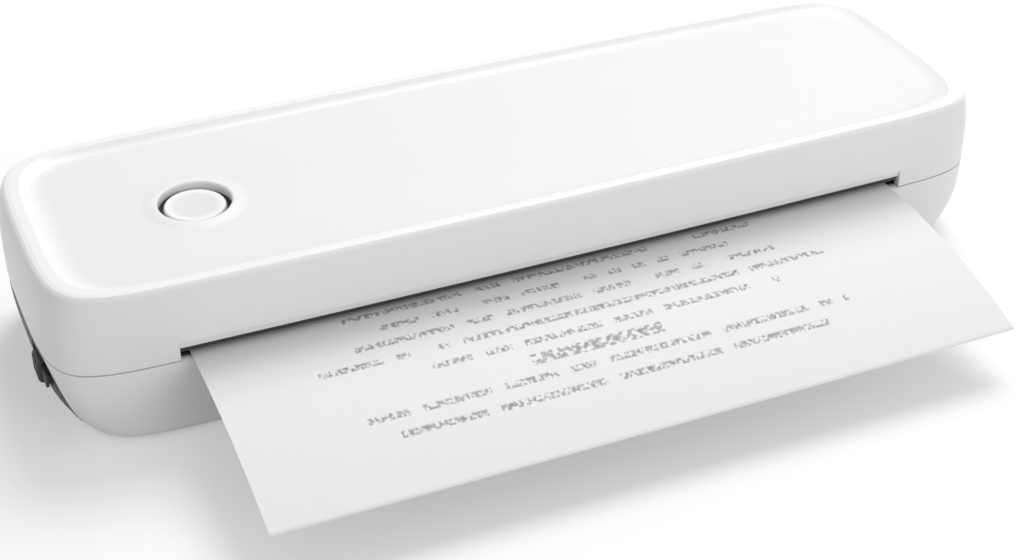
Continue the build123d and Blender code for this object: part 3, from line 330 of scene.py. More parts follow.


# circuit board: solder mask over copper runs, bare tinned spots each with a black dot of painted shade for a
# drilled opening, weave of the glass below
boardLook = {
    "mask": (0.010, 0.115, 0.050), "copper": (0.020, 0.19, 0.085), "tin": (0.72, 0.70, 0.64),
    "hole": (0.01, 0.01, 0.01),
    "trackPitch": 1050.0, "track": (0.25, 0.62), "zone": 130.0,
    "spots": 360.0, "stray": 0.55, "padReach": 0.17, "holeReach": 0.07,
    "gloss": (0.22, 0.4), "glossPatch": 400.0, "weave": 1400.0,
    "trackDepth": 0.00003, "weaveDepth": 0.000004, "edge": 0.0001,
}


def boardFinish():
    look = boardLook
    finish, tree, shader, where = blankFinish("solderMask", look)
    axes = axesOf(tree, where)
    zones = sums(tree, "GREATER_THAN", noise(tree, where, look["zone"], 0.0), 0.5)
    runs = [between(tree, sawtooth(tree, axes[axis], look["trackPitch"]), *look["track"]) for axis in (0, 1)]
    tracks = blendValues(tree, zones, *runs)
    cell = put(tree, "ShaderNodeTexVoronoi", {"feature": "F1"}, {
        "Vector": where, "Scale": look["spots"], "Randomness": look["stray"]}).outputs["Distance"]
    pads = sums(tree, "LESS_THAN", cell, look["padReach"])
    # a near-black dot in the middle of each spot: painted shade standing in for a drilled opening
    holes = sums(tree, "LESS_THAN", cell, look["holeReach"])
    green = blendColours(tree, tracks, look["mask"], look["copper"])
    spotted = blendColours(tree, pads, green, look["tin"])
    gloss = spread(tree, noise(tree, where, look["glossPatch"]), *look["gloss"])
    wire(tree, shader, {"Base Color": blendColours(tree, holes, spotted, look["hole"]), "Metallic": pads,
                        "Roughness": gloss})
    layers = [(sums(tree, "MAXIMUM", tracks, pads), look["trackDepth"]),
              (noise(tree, where, look["weave"], 1.0), look["weaveDepth"])]
    raiseGrain(tree, shader, layers, look["edge"])
    return finish


# print head strip: pale fired ceramic, gold fingers, and one brown heater line on a glossy glaze
stripLook = {
    "ceramic": (0.80, 0.79, 0.74), "second": (0.75, 0.74, 0.69), "patch": 300.0,
    "gold": (0.80, 0.60, 0.26), "heater": (0.16, 0.07, 0.03),
    "line": -24.0 * mm, "heaterHalf": 0.00016, "glazeHalf": 0.0013,
    "fingerPitch": 1600.0, "fingers": (0.0005, 0.0046), "bus": (-0.0044, -0.0022),
    "gloss": (0.42, 0.6), "glossPatch": 900.0, "glazeGloss": 0.12,
    "goldDepth": 0.000012, "grain": 2200.0, "grainDepth": 0.000004,
}


def stripFinish():
    look = stripLook
    finish, tree, shader, where = blankFinish("headCeramic", look)
    axes = axesOf(tree, where)
    away = sums(tree, "SUBTRACT", axes[1], look["line"])
    eitherWay = sums(tree, "ABSOLUTE", away)
    heater = sums(tree, "LESS_THAN", eitherWay, look["heaterHalf"])
    glazed = sums(tree, "LESS_THAN", eitherWay, look["glazeHalf"])
    fingers = sums(tree, "LESS_THAN", sawtooth(tree, axes[0], look["fingerPitch"]), 0.5)
    field = sums(tree, "MULTIPLY", fingers, between(tree, away, *look["fingers"]))
    gilt = sums(tree, "MAXIMUM", field, between(tree, away, *look["bus"]))
    plain = blendColours(tree, noise(tree, where, look["patch"]), look["ceramic"], look["second"])
    gilded = blendColours(tree, gilt, plain, look["gold"])
    rough = spread(tree, noise(tree, where, look["glossPatch"]), *look["gloss"])
    wire(tree, shader, {"Base Color": blendColours(tree, heater, gilded, look["heater"]), "Metallic": gilt,
                        "Roughness": blendValues(tree, glazed, rough, look["glazeGloss"])})
    grain = noise(tree, where, look["grain"])
    raiseGrain(tree, shader, [(gilt, look["goldDepth"]), (grain, look["grainDepth"])])
    return finish


# ribbon film: amber film with copper lines shining through
ribbonLook = {"film": (0.62, 0.30, 0.06), "copper": (0.52, 0.20, 0.05), "pitch": 1000.0,
              "line": (0.2, 0.75), "gloss": (0.25, 0.4), "glossPatch": 700.0, "lineDepth": 0.00003,
              "wave": 250.0, "waveDepth": 0.00005,
              "sockets": {"Coat Weight": 0.5, "Coat Roughness": 0.15}}


def ribbonFinish():
    look = ribbonLook
    finish, tree, shader, where = blankFinish("ribbonFilm", look)
    lines = between(tree, sawtooth(tree, axesOf(tree, where)[0], look["pitch"]), *look["line"])
    gloss = spread(tree, noise(tree, where, look["glossPatch"]), *look["gloss"])
    wire(tree, shader, {"Base Color": blendColours(tree, lines, look["film"], look["copper"]),
                        "Roughness": gloss})
    waves = noise(tree, where, look["wave"])
    raiseGrain(tree, shader, [(lines, look["lineDepth"]), (waves, look["waveDepth"])])
    return finish


# cell wrap: shrunk film, drawn into fine pleats towards the ends
wrapLook = {"colour": (0.035, 0.10, 0.22), "second": (0.05, 0.13, 0.27), "patch": 80.0,
            "middle": 11 * mm, "pleatsFrom": (0.045, 0.059), "pleats": (60, 1500, 700),
            "pleatDetail": 2.0, "pleatDepth": 0.0004, "swell": 90.0, "swellDepth": 0.0002,
            "gloss": (0.26, 0.4), "glossPatch": 500.0,
            "sockets": {"Coat Weight": 0.4, "Coat Roughness": 0.2}}


def wrapFinish():
    look = wrapLook
    finish, tree, shader, where = blankFinish("cellWrap", look)
    away = sums(tree, "ABSOLUTE", sums(tree, "SUBTRACT", axesOf(tree, where)[0], look["middle"]))
    toEnds = spread(tree, away, 0.0, 1.0, *look["pleatsFrom"])
    pleats = noise(tree, stretch(tree, where, look["pleats"]), 1.0, look["pleatDetail"])
    colour = blendColours(tree, noise(tree, where, look["patch"]), look["colour"], look["second"])
    gloss = spread(tree, noise(tree, where, look["glossPatch"]), *look["gloss"])
    wire(tree, shader, {"Base Color": colour, "Roughness": gloss})
    layers = [(sums(tree, "MULTIPLY", pleats, toEnds), look["pleatDepth"]),
              (noise(tree, where, look["swell"]), look["swellDepth"])]
    raiseGrain(tree, shader, layers)
    return finish


# roller: a sleeve of rubber, ground so that fine rings run round it, with a bloom of paper dust
rollerLook = {
    "wall": 2.5, "edge": 0.3, "edgeSteps": 5, "boreEdge": 0.1, "inset": 0.4, "steps": 30, "round": 96,
    "colour": (0.026, 0.026, 0.028), "dust": (0.10, 0.10, 0.10),
    "bloom": 160.0, "bloomDetail": 6.0, "bloomRoughness": 0.7, "dusty": (0.0, 0.5), "dustFrom": (0.5, 0.8),
    "rings": (2600.0, 40, 40), "gloss": (0.62, 0.8), "ringDepth": 0.00001,
    "grain": 3000.0, "grainDepth": 0.000008,
    "sockets": {"Specular IOR Level": 0.35},
}


def rollerFinish():
    look = rollerLook
    finish, tree, shader, where = blankFinish("platenRubber", look)
    rings = noise(tree, stretch(tree, where, look["rings"]), 1.0)
    bloom = noise(tree, where, look["bloom"], look["bloomDetail"], look["bloomRoughness"])
    dusty = spread(tree, bloom, *look["dusty"], *look["dustFrom"])
    wire(tree, shader, {"Base Color": blendColours(tree, dusty, look["colour"], look["dust"]),
                        "Roughness": spread(tree, rings, *look["gloss"])})
    grain = noise(tree, where, look["grain"])
    raiseGrain(tree, shader, [(rings, look["ringDepth"]), (grain, look["grainDepth"])])
    return finish


# sheet: fibrous coated paper, printed with rows of plain grey dabs; lengths and places are in mm
sheetLook = {
    "width": 210.0, "thick": 0.2, "middle": 1.0, "flatFrom": 39.5, "flatTo": -40.7, "top": 23.0,
    "out": 63.93, "curl": 205.0, "bow": 0.5, "outSteps": 60, "flatSteps": 30, "acrossSteps": 61,
    "paper": (0.83, 0.83, 0.835), "shade": (0.80, 0.80, 0.81), "ink": (0.17, 0.17, 0.18),
    "fibre": (500, 1500, 1500), "fibreDetail": 4.0, "fibreRoughness": 0.6, "gloss": (0.5, 0.62),
    "fibreDepth": 0.000006, "cockle": 60.0, "cockleDepth": 0.00006,
    "firstRow": 15.0, "rowPitch": 6.4, "rows": 10, "tallRow": 2,
    "word": 3.7, "gapChance": 0.26, "margin": 27.0, "ragged": 22.0, "tallMargin": 34.0, "farMargin": 8.0,
    "stroke": 1.05, "tallStroke": 0.5, "strokeRun": 0.62, "dabs": (0.42, 0.56),
    "rowHalf": 0.19, "tallHalf": 0.13, "blur": (-0.02, 0.06), "worn": (0.5, 0.85), "wornPatch": 700.0,
    "sockets": {"Specular IOR Level": 0.35},
}
sheetRun = sheetLook["out"] + sheetLook["flatFrom"] - sheetLook["flatTo"]


def printedRows(tree, where):
    # how dark the print is: dabs x row band x words x margins x wear
    look = sheetLook
    feed = axesOf(tree, put(tree, "ShaderNodeUVMap", {"uv_map": "feed"}).outputs[0])
    across = sums(tree, "MULTIPLY", feed[0], look["width"])
    along = sums(tree, "MULTIPLY", feed[1], sheetRun)
    rowPlace = sums(tree, "DIVIDE", sums(tree, "SUBTRACT", along, look["firstRow"]), look["rowPitch"])
    row = sums(tree, "FLOOR", rowPlace)
    fromMiddle = sums(tree, "ABSOLUTE", sums(tree, "SUBTRACT", sums(tree, "FRACT", rowPlace), 0.5))
    tall = sums(tree, "COMPARE", row, look["tallRow"], 0.1)
    rowChance = put(tree, "ShaderNodeTexWhiteNoise", {"noise_dimensions": "1D"}, {"W": row}).outputs[0]

    # words: cells along the row, some left empty, with a ragged start and end that differ from row to row
    cell = sums(tree, "FLOOR", sums(tree, "DIVIDE", across, look["word"]))
    seed = put(tree, "ShaderNodeCombineXYZ", {}, {0: cell, 1: row}).outputs[0]
    chance = put(tree, "ShaderNodeTexWhiteNoise", {"noise_dimensions": "2D"}, {"Vector": seed}).outputs[0]
    word = sums(tree, "GREATER_THAN", chance, look["gapChance"])
    inset = sums(tree, "MULTIPLY_ADD", rowChance, look["ragged"],
                 sums(tree, "MULTIPLY_ADD", tall, look["tallMargin"], look["margin"]))
    inside = between(tree, across, inset, sums(tree, "SUBTRACT", look["width"] - look["farMargin"], inset))

    # strokes: short upright dabs of uneven length and strength, and nothing that can be read
    stroke = sums(tree, "MULTIPLY_ADD", tall, look["tallStroke"], look["stroke"])
    dab = put(tree, "ShaderNodeCombineXYZ", {}, {
        0: sums(tree, "DIVIDE", across, stroke), 1: sums(tree, "MULTIPLY", along, look["strokeRun"]),
        2: row}).outputs[0]
    dabs = spread(tree, noise(tree, dab, 1.0, 1.0), 0.0, 1.0, *look["dabs"])
    half = sums(tree, "MULTIPLY_ADD", tall, look["tallHalf"], look["rowHalf"])
    band = spread(tree, sums(tree, "SUBTRACT", half, fromMiddle), 0.0, 1.0, *look["blur"])
    marks = sums(tree, "MULTIPLY", sums(tree, "MULTIPLY", dabs, band), sums(tree, "MULTIPLY", word, inside))
    marks = sums(tree, "MULTIPLY", marks, between(tree, row, -0.5, look["rows"] - 0.5))
    return sums(tree, "MULTIPLY", marks, spread(tree, noise(tree, where, look["wornPatch"]), *look["worn"]))


def sheetFinish():
    look = sheetLook
    finish, tree, shader, where = blankFinish("thermalPaper", look)
    fibre = noise(tree, stretch(tree, where, look["fibre"]), 1.0, look["fibreDetail"], look["fibreRoughness"])
    paper = blendColours(tree, fibre, look["paper"], look["shade"])
    wire(tree, shader, {"Base Color": blendColours(tree, printedRows(tree, where), paper, look["ink"]),
                        "Roughness": spread(tree, fibre, *look["gloss"])})
    cockle = noise(tree, where, look["cockle"], 2.0)
    raiseGrain(tree, shader, [(fibre, look["fibreDepth"]), (cockle, look["cockleDepth"])])
    return finish


finishes = {slot: mouldedFinish(slot.split("_")[0] + "Moulding", look) for slot, look in mouldings.items()}
finishes.update({slot: metalFinish(slot.replace("_", "") + "Metal", look) for slot, look in metals.items()})
finishes.update({"platen_rubber": rollerFinish(), "circuit_board": boardFinish(),
                 "head_ceramic": stripFinish(), "ribbon_film": ribbonFinish(),
                 "battery_wrap": wrapFinish(), "paper": sheetFinish()})

slotOf = {part["node"]: part["material_slot"] for part in frame["record"]["subparts"]}
bodyOf = {node: body for body, nodes in frame["record"]["behaviour"]["bodies"].items() for node in nodes}
for name, node in frame["nodes"].items():
    node.data.materials.clear()
    node.data.materials.append(finishes[slotOf[name]])
print("finishes made:", len(finishes))


def latticeFaces(rows, columns, wrapRows, wrapColumns):
    # corner numbers of the quads between neighbours: row x columns + column, for each quad's four corners
    i, j = np.meshgrid(np.arange(rows if wrapRows else rows - 1),
                       np.arange(columns if wrapColumns else columns - 1), indexing="ij")
    nextI, nextJ = (i + 1) % rows, (j + 1) % columns
    corners = [i * columns + j, nextI * columns + j, nextI * columns + nextJ, i * columns + nextJ]
    return np.stack(corners, -1).reshape(-1, 4)


def facesInwards(points, triangles):
    # the enclosed volume, a sixth of the sum of a . (b x c) over all faces, is negative when it does
    a, b, c = (points[triangles[:, k]] for k in range(3))
    return np.einsum("ij,ij->i", a, np.cross(b, c)).sum() < 0


def closedSkin(grid, wrapRows=False):
    # rings that follow each other; where the rows don't wrap, a hub at the mean of the end ring closes it
    rows, columns = grid.shape[:2]
    points = grid.reshape(-1, 3)
    quads = latticeFaces(rows, columns, wrapRows, True)
    fans = np.zeros((0, 3), int)
    if not wrapRows:
        points = np.vstack([points, grid[0].mean(0), grid[-1].mean(0)])
        j = np.arange(columns)
        nextJ = (j + 1) % columns
        first, last = rows * columns, rows * columns + 1
        end = (rows - 1) * columns
        fans = np.vstack([np.stack([np.full(columns, first), j, nextJ], -1),
                          np.stack([np.full(columns, last), end + nextJ, end + j], -1)])
    if facesInwards(points, np.vstack([quads[:, [0, 1, 2]], quads[:, [0, 2, 3]], fans])):
        quads, fans = quads[:, ::-1], fans[:, ::-1]
    return points, quads.tolist() + fans.tolist()


def makePiece(name, skins, node, sharp=40.0):
    # one object from closed skins in mm; it takes the body and the slot of the node that it replaces
    points, faces, count = [], [], 0
    for skinPoints, skinFaces in skins:
        points.append(skinPoints)
        faces += [[number + count for number in face] for face in skinFaces]
        count += len(skinPoints)
    mesh = bpy.data.meshes.new(name)
    mesh.from_pydata((np.vstack(points) * mm).tolist(), [], faces)
    mesh.polygons.foreach_set("use_smooth", np.ones(len(mesh.polygons), bool))
    mesh.set_sharp_from_angle(angle=math.radians(sharp))
    mesh.materials.append(finishes[slotOf[node]])
    piece = bpy.data.objects.new(name, mesh)
    bpy.context.scene.collection.objects.link(piece)
    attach(piece, bodyOf[node])
    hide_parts(node)
    return piece


def turned(profile, count, centre=(0, 0, 0), axis="z"):
    # a profile of (radius, height) carried round an axis: x = r cos a, y = r sin a, z = h
    profile = np.asarray(profile, float)
    angle = np.linspace(0, 2 * np.pi, count, endpoint=False)
    radius, height = profile[:, :1], profile[:, 1:]
    x, y = radius * np.cos(angle), radius * np.sin(angle)
    z = height + 0 * angle
    grid = np.stack([x, y, z] if axis == "z" else [z, x, y], -1)
    return grid + np.asarray(centre, float)


def corner(centre, radius, start, end, count):
    # points of a round edge: centre + radius (cos, sin) from the start to the end angle
    angle = np.radians(np.linspace(start, end, count))
    return np.stack([centre[0] + radius * np.cos(angle), centre[1] + radius * np.sin(angle)], -1)


def middleOf(node):
    # middle, low and high corner of a node's box, in mm
    low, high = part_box(node)
    return (np.array(low) + np.array(high)) / 2 / mm, np.array(low) / mm, np.array(high) / mm


def makeSheet():
    # flat through the printer, then an arc: y = end - R sin a, z = top - R (1 - cos a), a = length / R;
    # the free part sinks a little in the middle of its width, by bow (a / largest a)^2 sin(pi u)
    look = sheetLook
    flatRun = np.linspace(0, sheetRun - look["out"], look["flatSteps"])[1:]
    run = np.concatenate([np.linspace(0, look["out"], look["outSteps"]), look["out"] + flatRun])
    share = np.linspace(0, 1, look["acrossSteps"])
    s, u = np.meshgrid(run, share, indexing="ij")                # s from the free edge, u across
    angle = np.clip(look["out"] - s, 0, None) / look["curl"]     # how far round the arc
    flat = look["flatTo"] + np.clip(s - look["out"], 0, None)
    y = np.where(angle > 0, look["flatTo"] - look["curl"] * np.sin(angle), flat)
    z = look["top"] - look["curl"] * (1 - np.cos(angle))
    x = look["middle"] + (u - 0.5) * look["width"]
    z = z - look["bow"] * (angle / angle.max()) ** 2 * np.sin(np.pi * u)
    top = np.stack([x, y, z], -1)
    under = top - np.stack([0 * x, look["thick"] * np.sin(angle), look["thick"] * np.cos(angle)], -1)

    # each row runs over the top and back underneath; quads between the two close the free and the far edge
    rows, columns = top.shape[:2]
    wide = 2 * columns
    points = np.concatenate([top, under[:, ::-1]], axis=1).reshape(-1, 3)
    j = np.arange(columns - 1)
    mate = wide - 1 - j
    freeEdge = np.stack([j, j + 1, mate - 1, mate], -1)
    farEdge = (rows - 1) * wide + np.stack([j, mate, mate - 1, j + 1], -1)
    faces = np.vstack([latticeFaces(rows, wide, False, True), freeEdge, farEdge])
    if facesInwards(points, faces):
        faces = faces[:, ::-1]
    piece = makePiece("feedSheet", [(points, faces.tolist())], "paper_sheet", 60.0)

    # the feed map: across the sheet and along its run, the same above and below
    place = np.stack([np.concatenate([u, u[:, ::-1]], 1), np.concatenate([s, s[:, ::-1]], 1) / sheetRun], -1)
    loops = np.empty(len(piece.data.loops), int)
    piece.data.loops.foreach_get("vertex_index", loops)
    layer = piece.data.uv_layers.new(name="feed")
    layer.data.foreach_set("uv", place.reshape(-1, 2)[loops].astype(np.float32).ravel())


makeSheet()
print("sheet made")

# power button: a dished cap with a rounded edge, on its flange and stem
buttonLook = {
    "radius": 8.4, "edge": 0.6, "edgeFrom": 84, "edgeSteps": 9,
    "dish": 0.35, "dishMargin": 0.1, "dishPower": 1.5, "dishSteps": 26, "hub": (0.2, 0.3),
    "skirt": [(0.0, 0.25), (0.1, 0.05), (0.4, 0.0)],             # out from the cap, up from the flange
    "flange": 9.7, "flangeDrop": 3.35, "flangeHigh": 1.0, "flangeEdge": 0.15,
    "stem": 2.0, "stemFillet": 0.3, "stemEdge": 0.4, "round": 96,
}


def makeButton():
    # a profile of (radius, height) turned; the dish is top - depth (1 - (r / R)^2)^power
    look = buttonLook
    middle, low, high = middleOf("power_button")
    top = high[2]
    flat = look["radius"] - look["edge"]
    r = np.linspace(look["hub"][0], flat, look["dishSteps"])
    share = np.clip(r / (flat - look["dishMargin"]), 0, 1)
    dish = np.stack([r, top - look["dish"] * (1 - share ** 2) ** look["dishPower"]], -1)
    edge = corner((flat, top - look["edge"]), look["edge"], look["edgeFrom"], 0, look["edgeSteps"])
    under = top - look["flangeDrop"]
    foot = under - look["flangeHigh"]
    skirt = [(look["radius"] + out, under + up) for out, up in look["skirt"]]
    inner = look["flange"] - look["flangeEdge"]
    rim = [(inner, under), (look["flange"], under - look["flangeEdge"]),
           (look["flange"], foot + look["flangeEdge"]), (inner, foot)]
    stem = [(look["stem"] + look["stemFillet"], foot), (look["stem"], foot - look["stemFillet"]),
            (look["stem"], low[2] + look["stemEdge"]), (look["stem"] - look["stemEdge"], low[2]),
            (look["hub"][1], low[2])]
    grid = turned(np.vstack([dish, edge, skirt, rim, stem]), look["round"], (middle[0], middle[1], 0))
    makePiece("buttonCap", [closedSkin(grid)], "power_button", 50.0)


makeButton()

# feet: soft pads
footLook = {"places": [(x, y) for x in (-104.0, 104.0) for y in (-29.0, 29.0)], "halfRun": 6.8,
            "radius": 3.0, "low": -0.6, "high": 1.0, "edge": 0.7, "edgeSteps": 7, "seat": 0.1,
            "sole": (0.2, 2.2), "soleSteps": 10, "join": 0.6, "round": 72, "nudge": 1e-4}


def makeFeet():
    # a profile carried round a slot: x = +-half run + r cos a, y = r sin a; the run fades out under the sole
    look = footLook
    steps = look["soleSteps"]
    sole = np.stack([np.linspace(*look["sole"], steps), np.full(steps, look["low"])], -1)
    edge = corner((look["radius"] - look["edge"], look["low"] + look["edge"]), look["edge"],
                  -90, 0, look["edgeSteps"])
    seat = [(look["radius"], look["high"] - look["seat"]), (look["radius"] - look["seat"], look["high"])]
    profile = np.vstack([sole, edge, seat])
    radius, height = profile[:, :1], profile[:, 1:]
    angle = np.linspace(0, 2 * np.pi, look["round"], endpoint=False) + look["nudge"]
    run = look["halfRun"] * np.sign(np.cos(angle)) * np.clip(radius / look["join"], 0, 1)
    pad = np.stack([run + radius * np.cos(angle), radius * np.sin(angle), height + 0 * angle], -1)
    skins = [closedSkin(pad + (x, y, 0)) for x, y in look["places"]]
    makePiece("footPads", skins, "rubber_feet")


makeFeet()


def makeRoller():
    # a ring-shaped profile of (radius, height) turned about the shaft, its outer edges round
    look = rollerLook
    middle, low, high = middleOf("platen_rubber")
    start, end = low[0], high[0]
    outer = (high[2] - low[2]) / 2
    bore = outer - look["wall"]
    shoulder = outer - look["edge"]
    run = np.linspace(start + look["inset"], end - look["inset"], look["steps"])
    profile = np.vstack([
        corner((shoulder, start + look["edge"]), look["edge"], -90, 0, look["edgeSteps"]),
        np.stack([np.full(look["steps"], outer), run], -1),
        corner((shoulder, end - look["edge"]), look["edge"], 0, 90, look["edgeSteps"]),
        [(bore + look["boreEdge"], end), (bore, end - look["boreEdge"]),
         (bore, start + look["boreEdge"]), (bore + look["boreEdge"], start)]])
    grid = turned(profile, look["round"], (0, middle[1], middle[2]), "x")
    makePiece("rollerSleeve", [closedSkin(grid, True)], "platen_rubber")


makeRoller()
print("button, feet and roller made")

# screws: a domed head with a cross sunk in it, and a thread whose crest winds down the shank
screwLook = {
    "hub": 0.06, "headSteps": 20, "dome": 0.35, "domePower": 3,
    "arm": 0.2, "reach": 0.62, "soft": 0.12, "sunk": 0.55,         # the cross, as shares of the head
    "rimHigh": 0.4, "rimEdge": 0.08,
    "shank": 1.0, "thread": 0.16, "pitch": 0.6, "tip": 0.12, "tipLeast": 0.15,
    "stepsPerTurn": 7, "fewestSteps": 12, "round": 36,
}
upwards, downwards, rightwards = (0, 0, 1), (0, 0, -1), (1, 0, 0)
screwSets = {
    "guide_screws": [{"up": upwards, "head": 2.0, "headHigh": 1.1, "length": 6.0, "places":
                      [(x, 33.0, 21.3) for x in (-91.0, -29.667, 31.667, 93.0)]
                      + [(-61.0, -14.2, 21.3), (77.0, -14.2, 21.3)]
                      + [(x, -34.6, 21.3) for x in (-93.0, -30.333, 32.333, 95.0)]}],
    "board_screws": [{"up": upwards, "head": 2.0, "headHigh": 1.1, "length": 3.6, "places":
                      [(x, y, 6.6) for x in (-126.0, -82.0) for y in (-1.5, 26.0)]}],
    "plate_screws": [{"up": upwards, "head": 2.0, "headHigh": 1.1, "length": 3.1, "places":
                      [(-103.6, -32.5, 4.2), (-103.6, -14.0, 4.2), (105.6, -32.5, 4.2), (105.6, 14.0, 4.2)]}],
    "motor_screws": [{"up": rightwards, "head": 1.8, "headHigh": 0.9, "length": 5.0, "places":
                      [(110.6, -4.653, 11.0), (110.6, 6.547, 11.0)]}],
    "cover_screws": [{"up": downwards, "head": 2.0, "headHigh": 0.8, "length": 4.3, "places":
                      [(x, 26.0, 24.2) for x in (-79.0, 1.0, 81.0)]},
                     {"up": downwards, "head": 2.0, "headHigh": 0.9, "length": 4.8, "places":
                      [(x, -22.0, 36.0) for x in (-83.0, -27.0, 29.0, 85.0)]},
                     {"up": downwards, "head": 2.0, "headHigh": 0.9, "length": 4.8, "places":
                      [(x, y, 32.0) for x in (-112.0, -66.0) for y in (-2.4, 12.0)]}],
}


def screwSkin(place, up, head, headHigh, length):
    # head: z = high (1 - dome (r / R)^3) - sunk x cross;
    # shank: r = shank - thread x (1 + cos(2 pi z / pitch + a)) / 2, z = -length t
    look = screwLook
    angle = np.linspace(0, 2 * np.pi, look["round"], endpoint=False)
    r = np.linspace(look["hub"], 1, look["headSteps"])[:, None] * head
    x, y = r * np.cos(angle), r * np.sin(angle)

    def arm(along, beside):
        # 1 inside one bar of the cross, falling off softly at its sides and end
        soft = look["soft"] * head
        side = np.clip((look["arm"] * head - np.abs(beside)) / soft + 0.5, 0, 1)
        end = np.clip((look["reach"] * head - np.abs(along)) / soft + 0.5, 0, 1)
        return side * end

    cross = np.maximum(arm(x, y), arm(y, x))
    domed = headHigh * (1 - look["dome"] * (r / head) ** look["domePower"])
    top = np.stack([x, y, domed - look["sunk"] * headHigh * cross], -1)
    rim = turned([(head, headHigh * look["rimHigh"]), (head, look["rimEdge"]), (head - look["rimEdge"], 0)],
                 look["round"])
    steps = max(look["fewestSteps"], int(length / look["pitch"] * look["stepsPerTurn"]))
    down = np.linspace(0, 1, steps)[:, None]
    depth = -length * down
    wave = 0.5 + 0.5 * np.cos(2 * np.pi * depth / look["pitch"] + angle)
    taper = np.clip((1 - down) / look["tip"], look["tipLeast"], 1)
    radius = (look["shank"] - look["thread"] * wave) * taper
    shank = np.stack([radius * np.cos(angle), radius * np.sin(angle), depth + 0 * angle], -1)
    grid = np.concatenate([top, rim, shank])
    if up == rightwards:
        grid = grid[..., [2, 0, 1]]
    elif up == downwards:
        grid = grid * (1, -1, -1)
    return closedSkin(grid + np.asarray(place, float))


for node, kinds in screwSets.items():
    skins = [screwSkin(place, kind["up"], kind["head"], kind["headHigh"], kind["length"])
             for kind in kinds for place in kind["places"]]
    makePiece(node.split("_")[0] + "ScrewSet", skins, node)
print("screws made")

# the coil spring behind the release slider
coilLook = {"x": -131.5, "z": 11.5, "from": -24.4, "to": -11.6, "radius": 1.3, "wire": 0.2, "turns": 8.0,
            "closedTurns": 1.1, "closedPitch": 0.42, "easing": 0.6, "stepsPerTurn": 36, "round": 10,
            "travel": 2.5}


def makeCoil():
    # wire round a helix whose pitch closes up over the last turn at each end, so it stands square:
    # place = axis + R (cos a, 0, sin a), and along the axis the sum of each step's rise
    look = coilLook
    turn = np.linspace(0, look["turns"], int(look["turns"] * look["stepsPerTurn"]) + 1)
    toEnd = np.minimum(turn, look["turns"] - turn)
    opened = np.clip((toEnd - look["closedTurns"]) / look["easing"], 0, 1)
    free = look["to"] - look["from"] - 2 * look["wire"]
    rise = look["closedPitch"] * (1 - opened) / look["stepsPerTurn"]
    rise = rise + opened / opened.sum() * (free - rise[1:].sum())
    y = look["from"] + look["wire"] + np.concatenate([[0], np.cumsum(rise[1:])])
    angle = 2 * np.pi * turn
    side = np.stack([np.cos(angle), 0 * angle, np.sin(angle)], -1)
    path = np.stack([0 * y + look["x"], y, 0 * y + look["z"]], -1) + look["radius"] * side
    along = np.gradient(path, axis=0)
    along /= np.linalg.norm(along, axis=1, keepdims=True)
    other = np.cross(along, side)
    around = np.linspace(0, 2 * np.pi, look["round"], endpoint=False)
    ring = np.cos(around)[None, :, None] * side[:, None] + np.sin(around)[None, :, None] * other[:, None]
    coil = makePiece("sliderCoil", [closedSkin(path[:, None] + look["wire"] * ring)], "slider_spring")
    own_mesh(coil)


makeCoil()

# the leaf spring over the print head: a strip with fingers whose tips curl up; knots are (y, z)
leafLook = {"root": -18.6, "back": -14.2, "tip": -26.2, "curl": (-28.4, 1.1), "top": 36.0, "overlap": 1.6,
            "strip": 0.5, "stripSteps": 40, "finger": 0.48, "width": 6.0, "fingers": 8, "touchGap": 0.02,
            "reach": 78.0, "middle": 1.0, "bend": 1.3, "bendSteps": 9, "soft": 0.16, "softSteps": 4,
            "lift": 3.0}


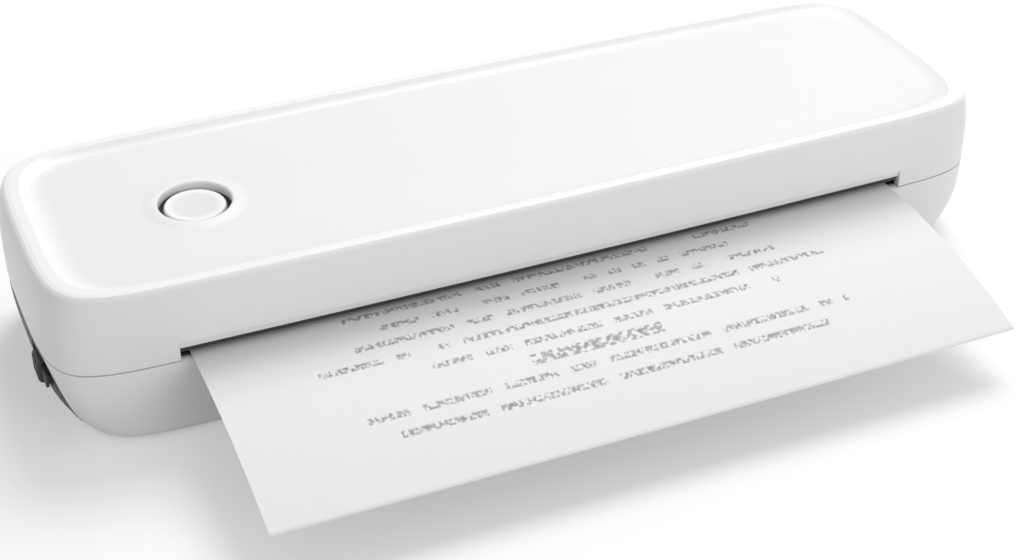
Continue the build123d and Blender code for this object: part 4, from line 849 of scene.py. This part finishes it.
def barSkin(path, side, up, width, thick):
    # a flat bar with rounded edges: the same oblong section at every point of the path
    soft = leafLook["soft"]
    section = np.vstack([corner((sx * (width / 2 - soft), sz * (thick / 2 - soft)), soft, start, start + 90,
                                leafLook["softSteps"])
                         for sx, sz, start in ((1, 1, 0), (-1, 1, 90), (-1, -1, 180), (1, -1, 270))])
    grid = path[:, None] + section[None, :, :1] * side[:, None] + section[None, :, 1:] * up[:, None]
    return closedSkin(grid)


def makeLeaf():
    # each finger is a bar along straight runs with bends (1 - t)^2 start + 2 t (1 - t) knot + t^2 end
    look = leafLook
    low = middleOf("head_spring")[1]
    rootZ = look["top"] - look["strip"] / 2
    touch = low[2] + look["finger"] / 2 + look["touchGap"]
    knots = np.array([(look["root"] + look["overlap"], rootZ), (look["root"], rootZ), (look["tip"], touch),
                      (look["curl"][0], touch + look["curl"][1])])

    def bent(before, knot, after):
        # from a point short of the knot to a point past it
        start = knot + (before - knot) / np.linalg.norm(before - knot) * look["bend"]
        end = knot + (after - knot) / np.linalg.norm(after - knot) * look["bend"]
        t = np.linspace(0, 1, look["bendSteps"])[:, None]
        return (1 - t) ** 2 * start + 2 * t * (1 - t) * knot + t ** 2 * end

    line = np.vstack([knots[:1], bent(*knots[:3]), bent(*knots[1:]), knots[3:]])
    line[:, 1] = rootZ - (rootZ - line[:, 1]) * (rootZ - touch) / (rootZ - line[:, 1].min())
    along = np.gradient(line, axis=0)
    along /= np.linalg.norm(along, axis=1, keepdims=True)
    up = np.stack([0 * line[:, 0], -along[:, 1], along[:, 0]], -1)
    side = np.tile((1.0, 0, 0), (len(line), 1))
    skins = []
    for x in np.linspace(look["width"] - look["reach"], look["reach"] - look["width"], look["fingers"]):
        path = np.column_stack([np.full(len(line), look["middle"] + x), line])
        skins.append(barSkin(path, side, up, look["width"], look["finger"]))

    # the strip that carries them runs from end to end
    steps = look["stripSteps"]
    run = look["middle"] + np.linspace(-look["reach"], look["reach"], steps)
    path = np.column_stack([run, np.full(steps, (look["root"] + look["back"]) / 2), np.full(steps, rootZ)])
    skins.append(barSkin(path, np.tile((0, 1.0, 0), (steps, 1)), np.tile((0, 0, 1.0), (steps, 1)),
                         look["back"] - look["root"], look["strip"]))
    leaf = makePiece("headLeaf", skins, "head_spring")
    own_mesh(leaf)


makeLeaf()
print("springs made")
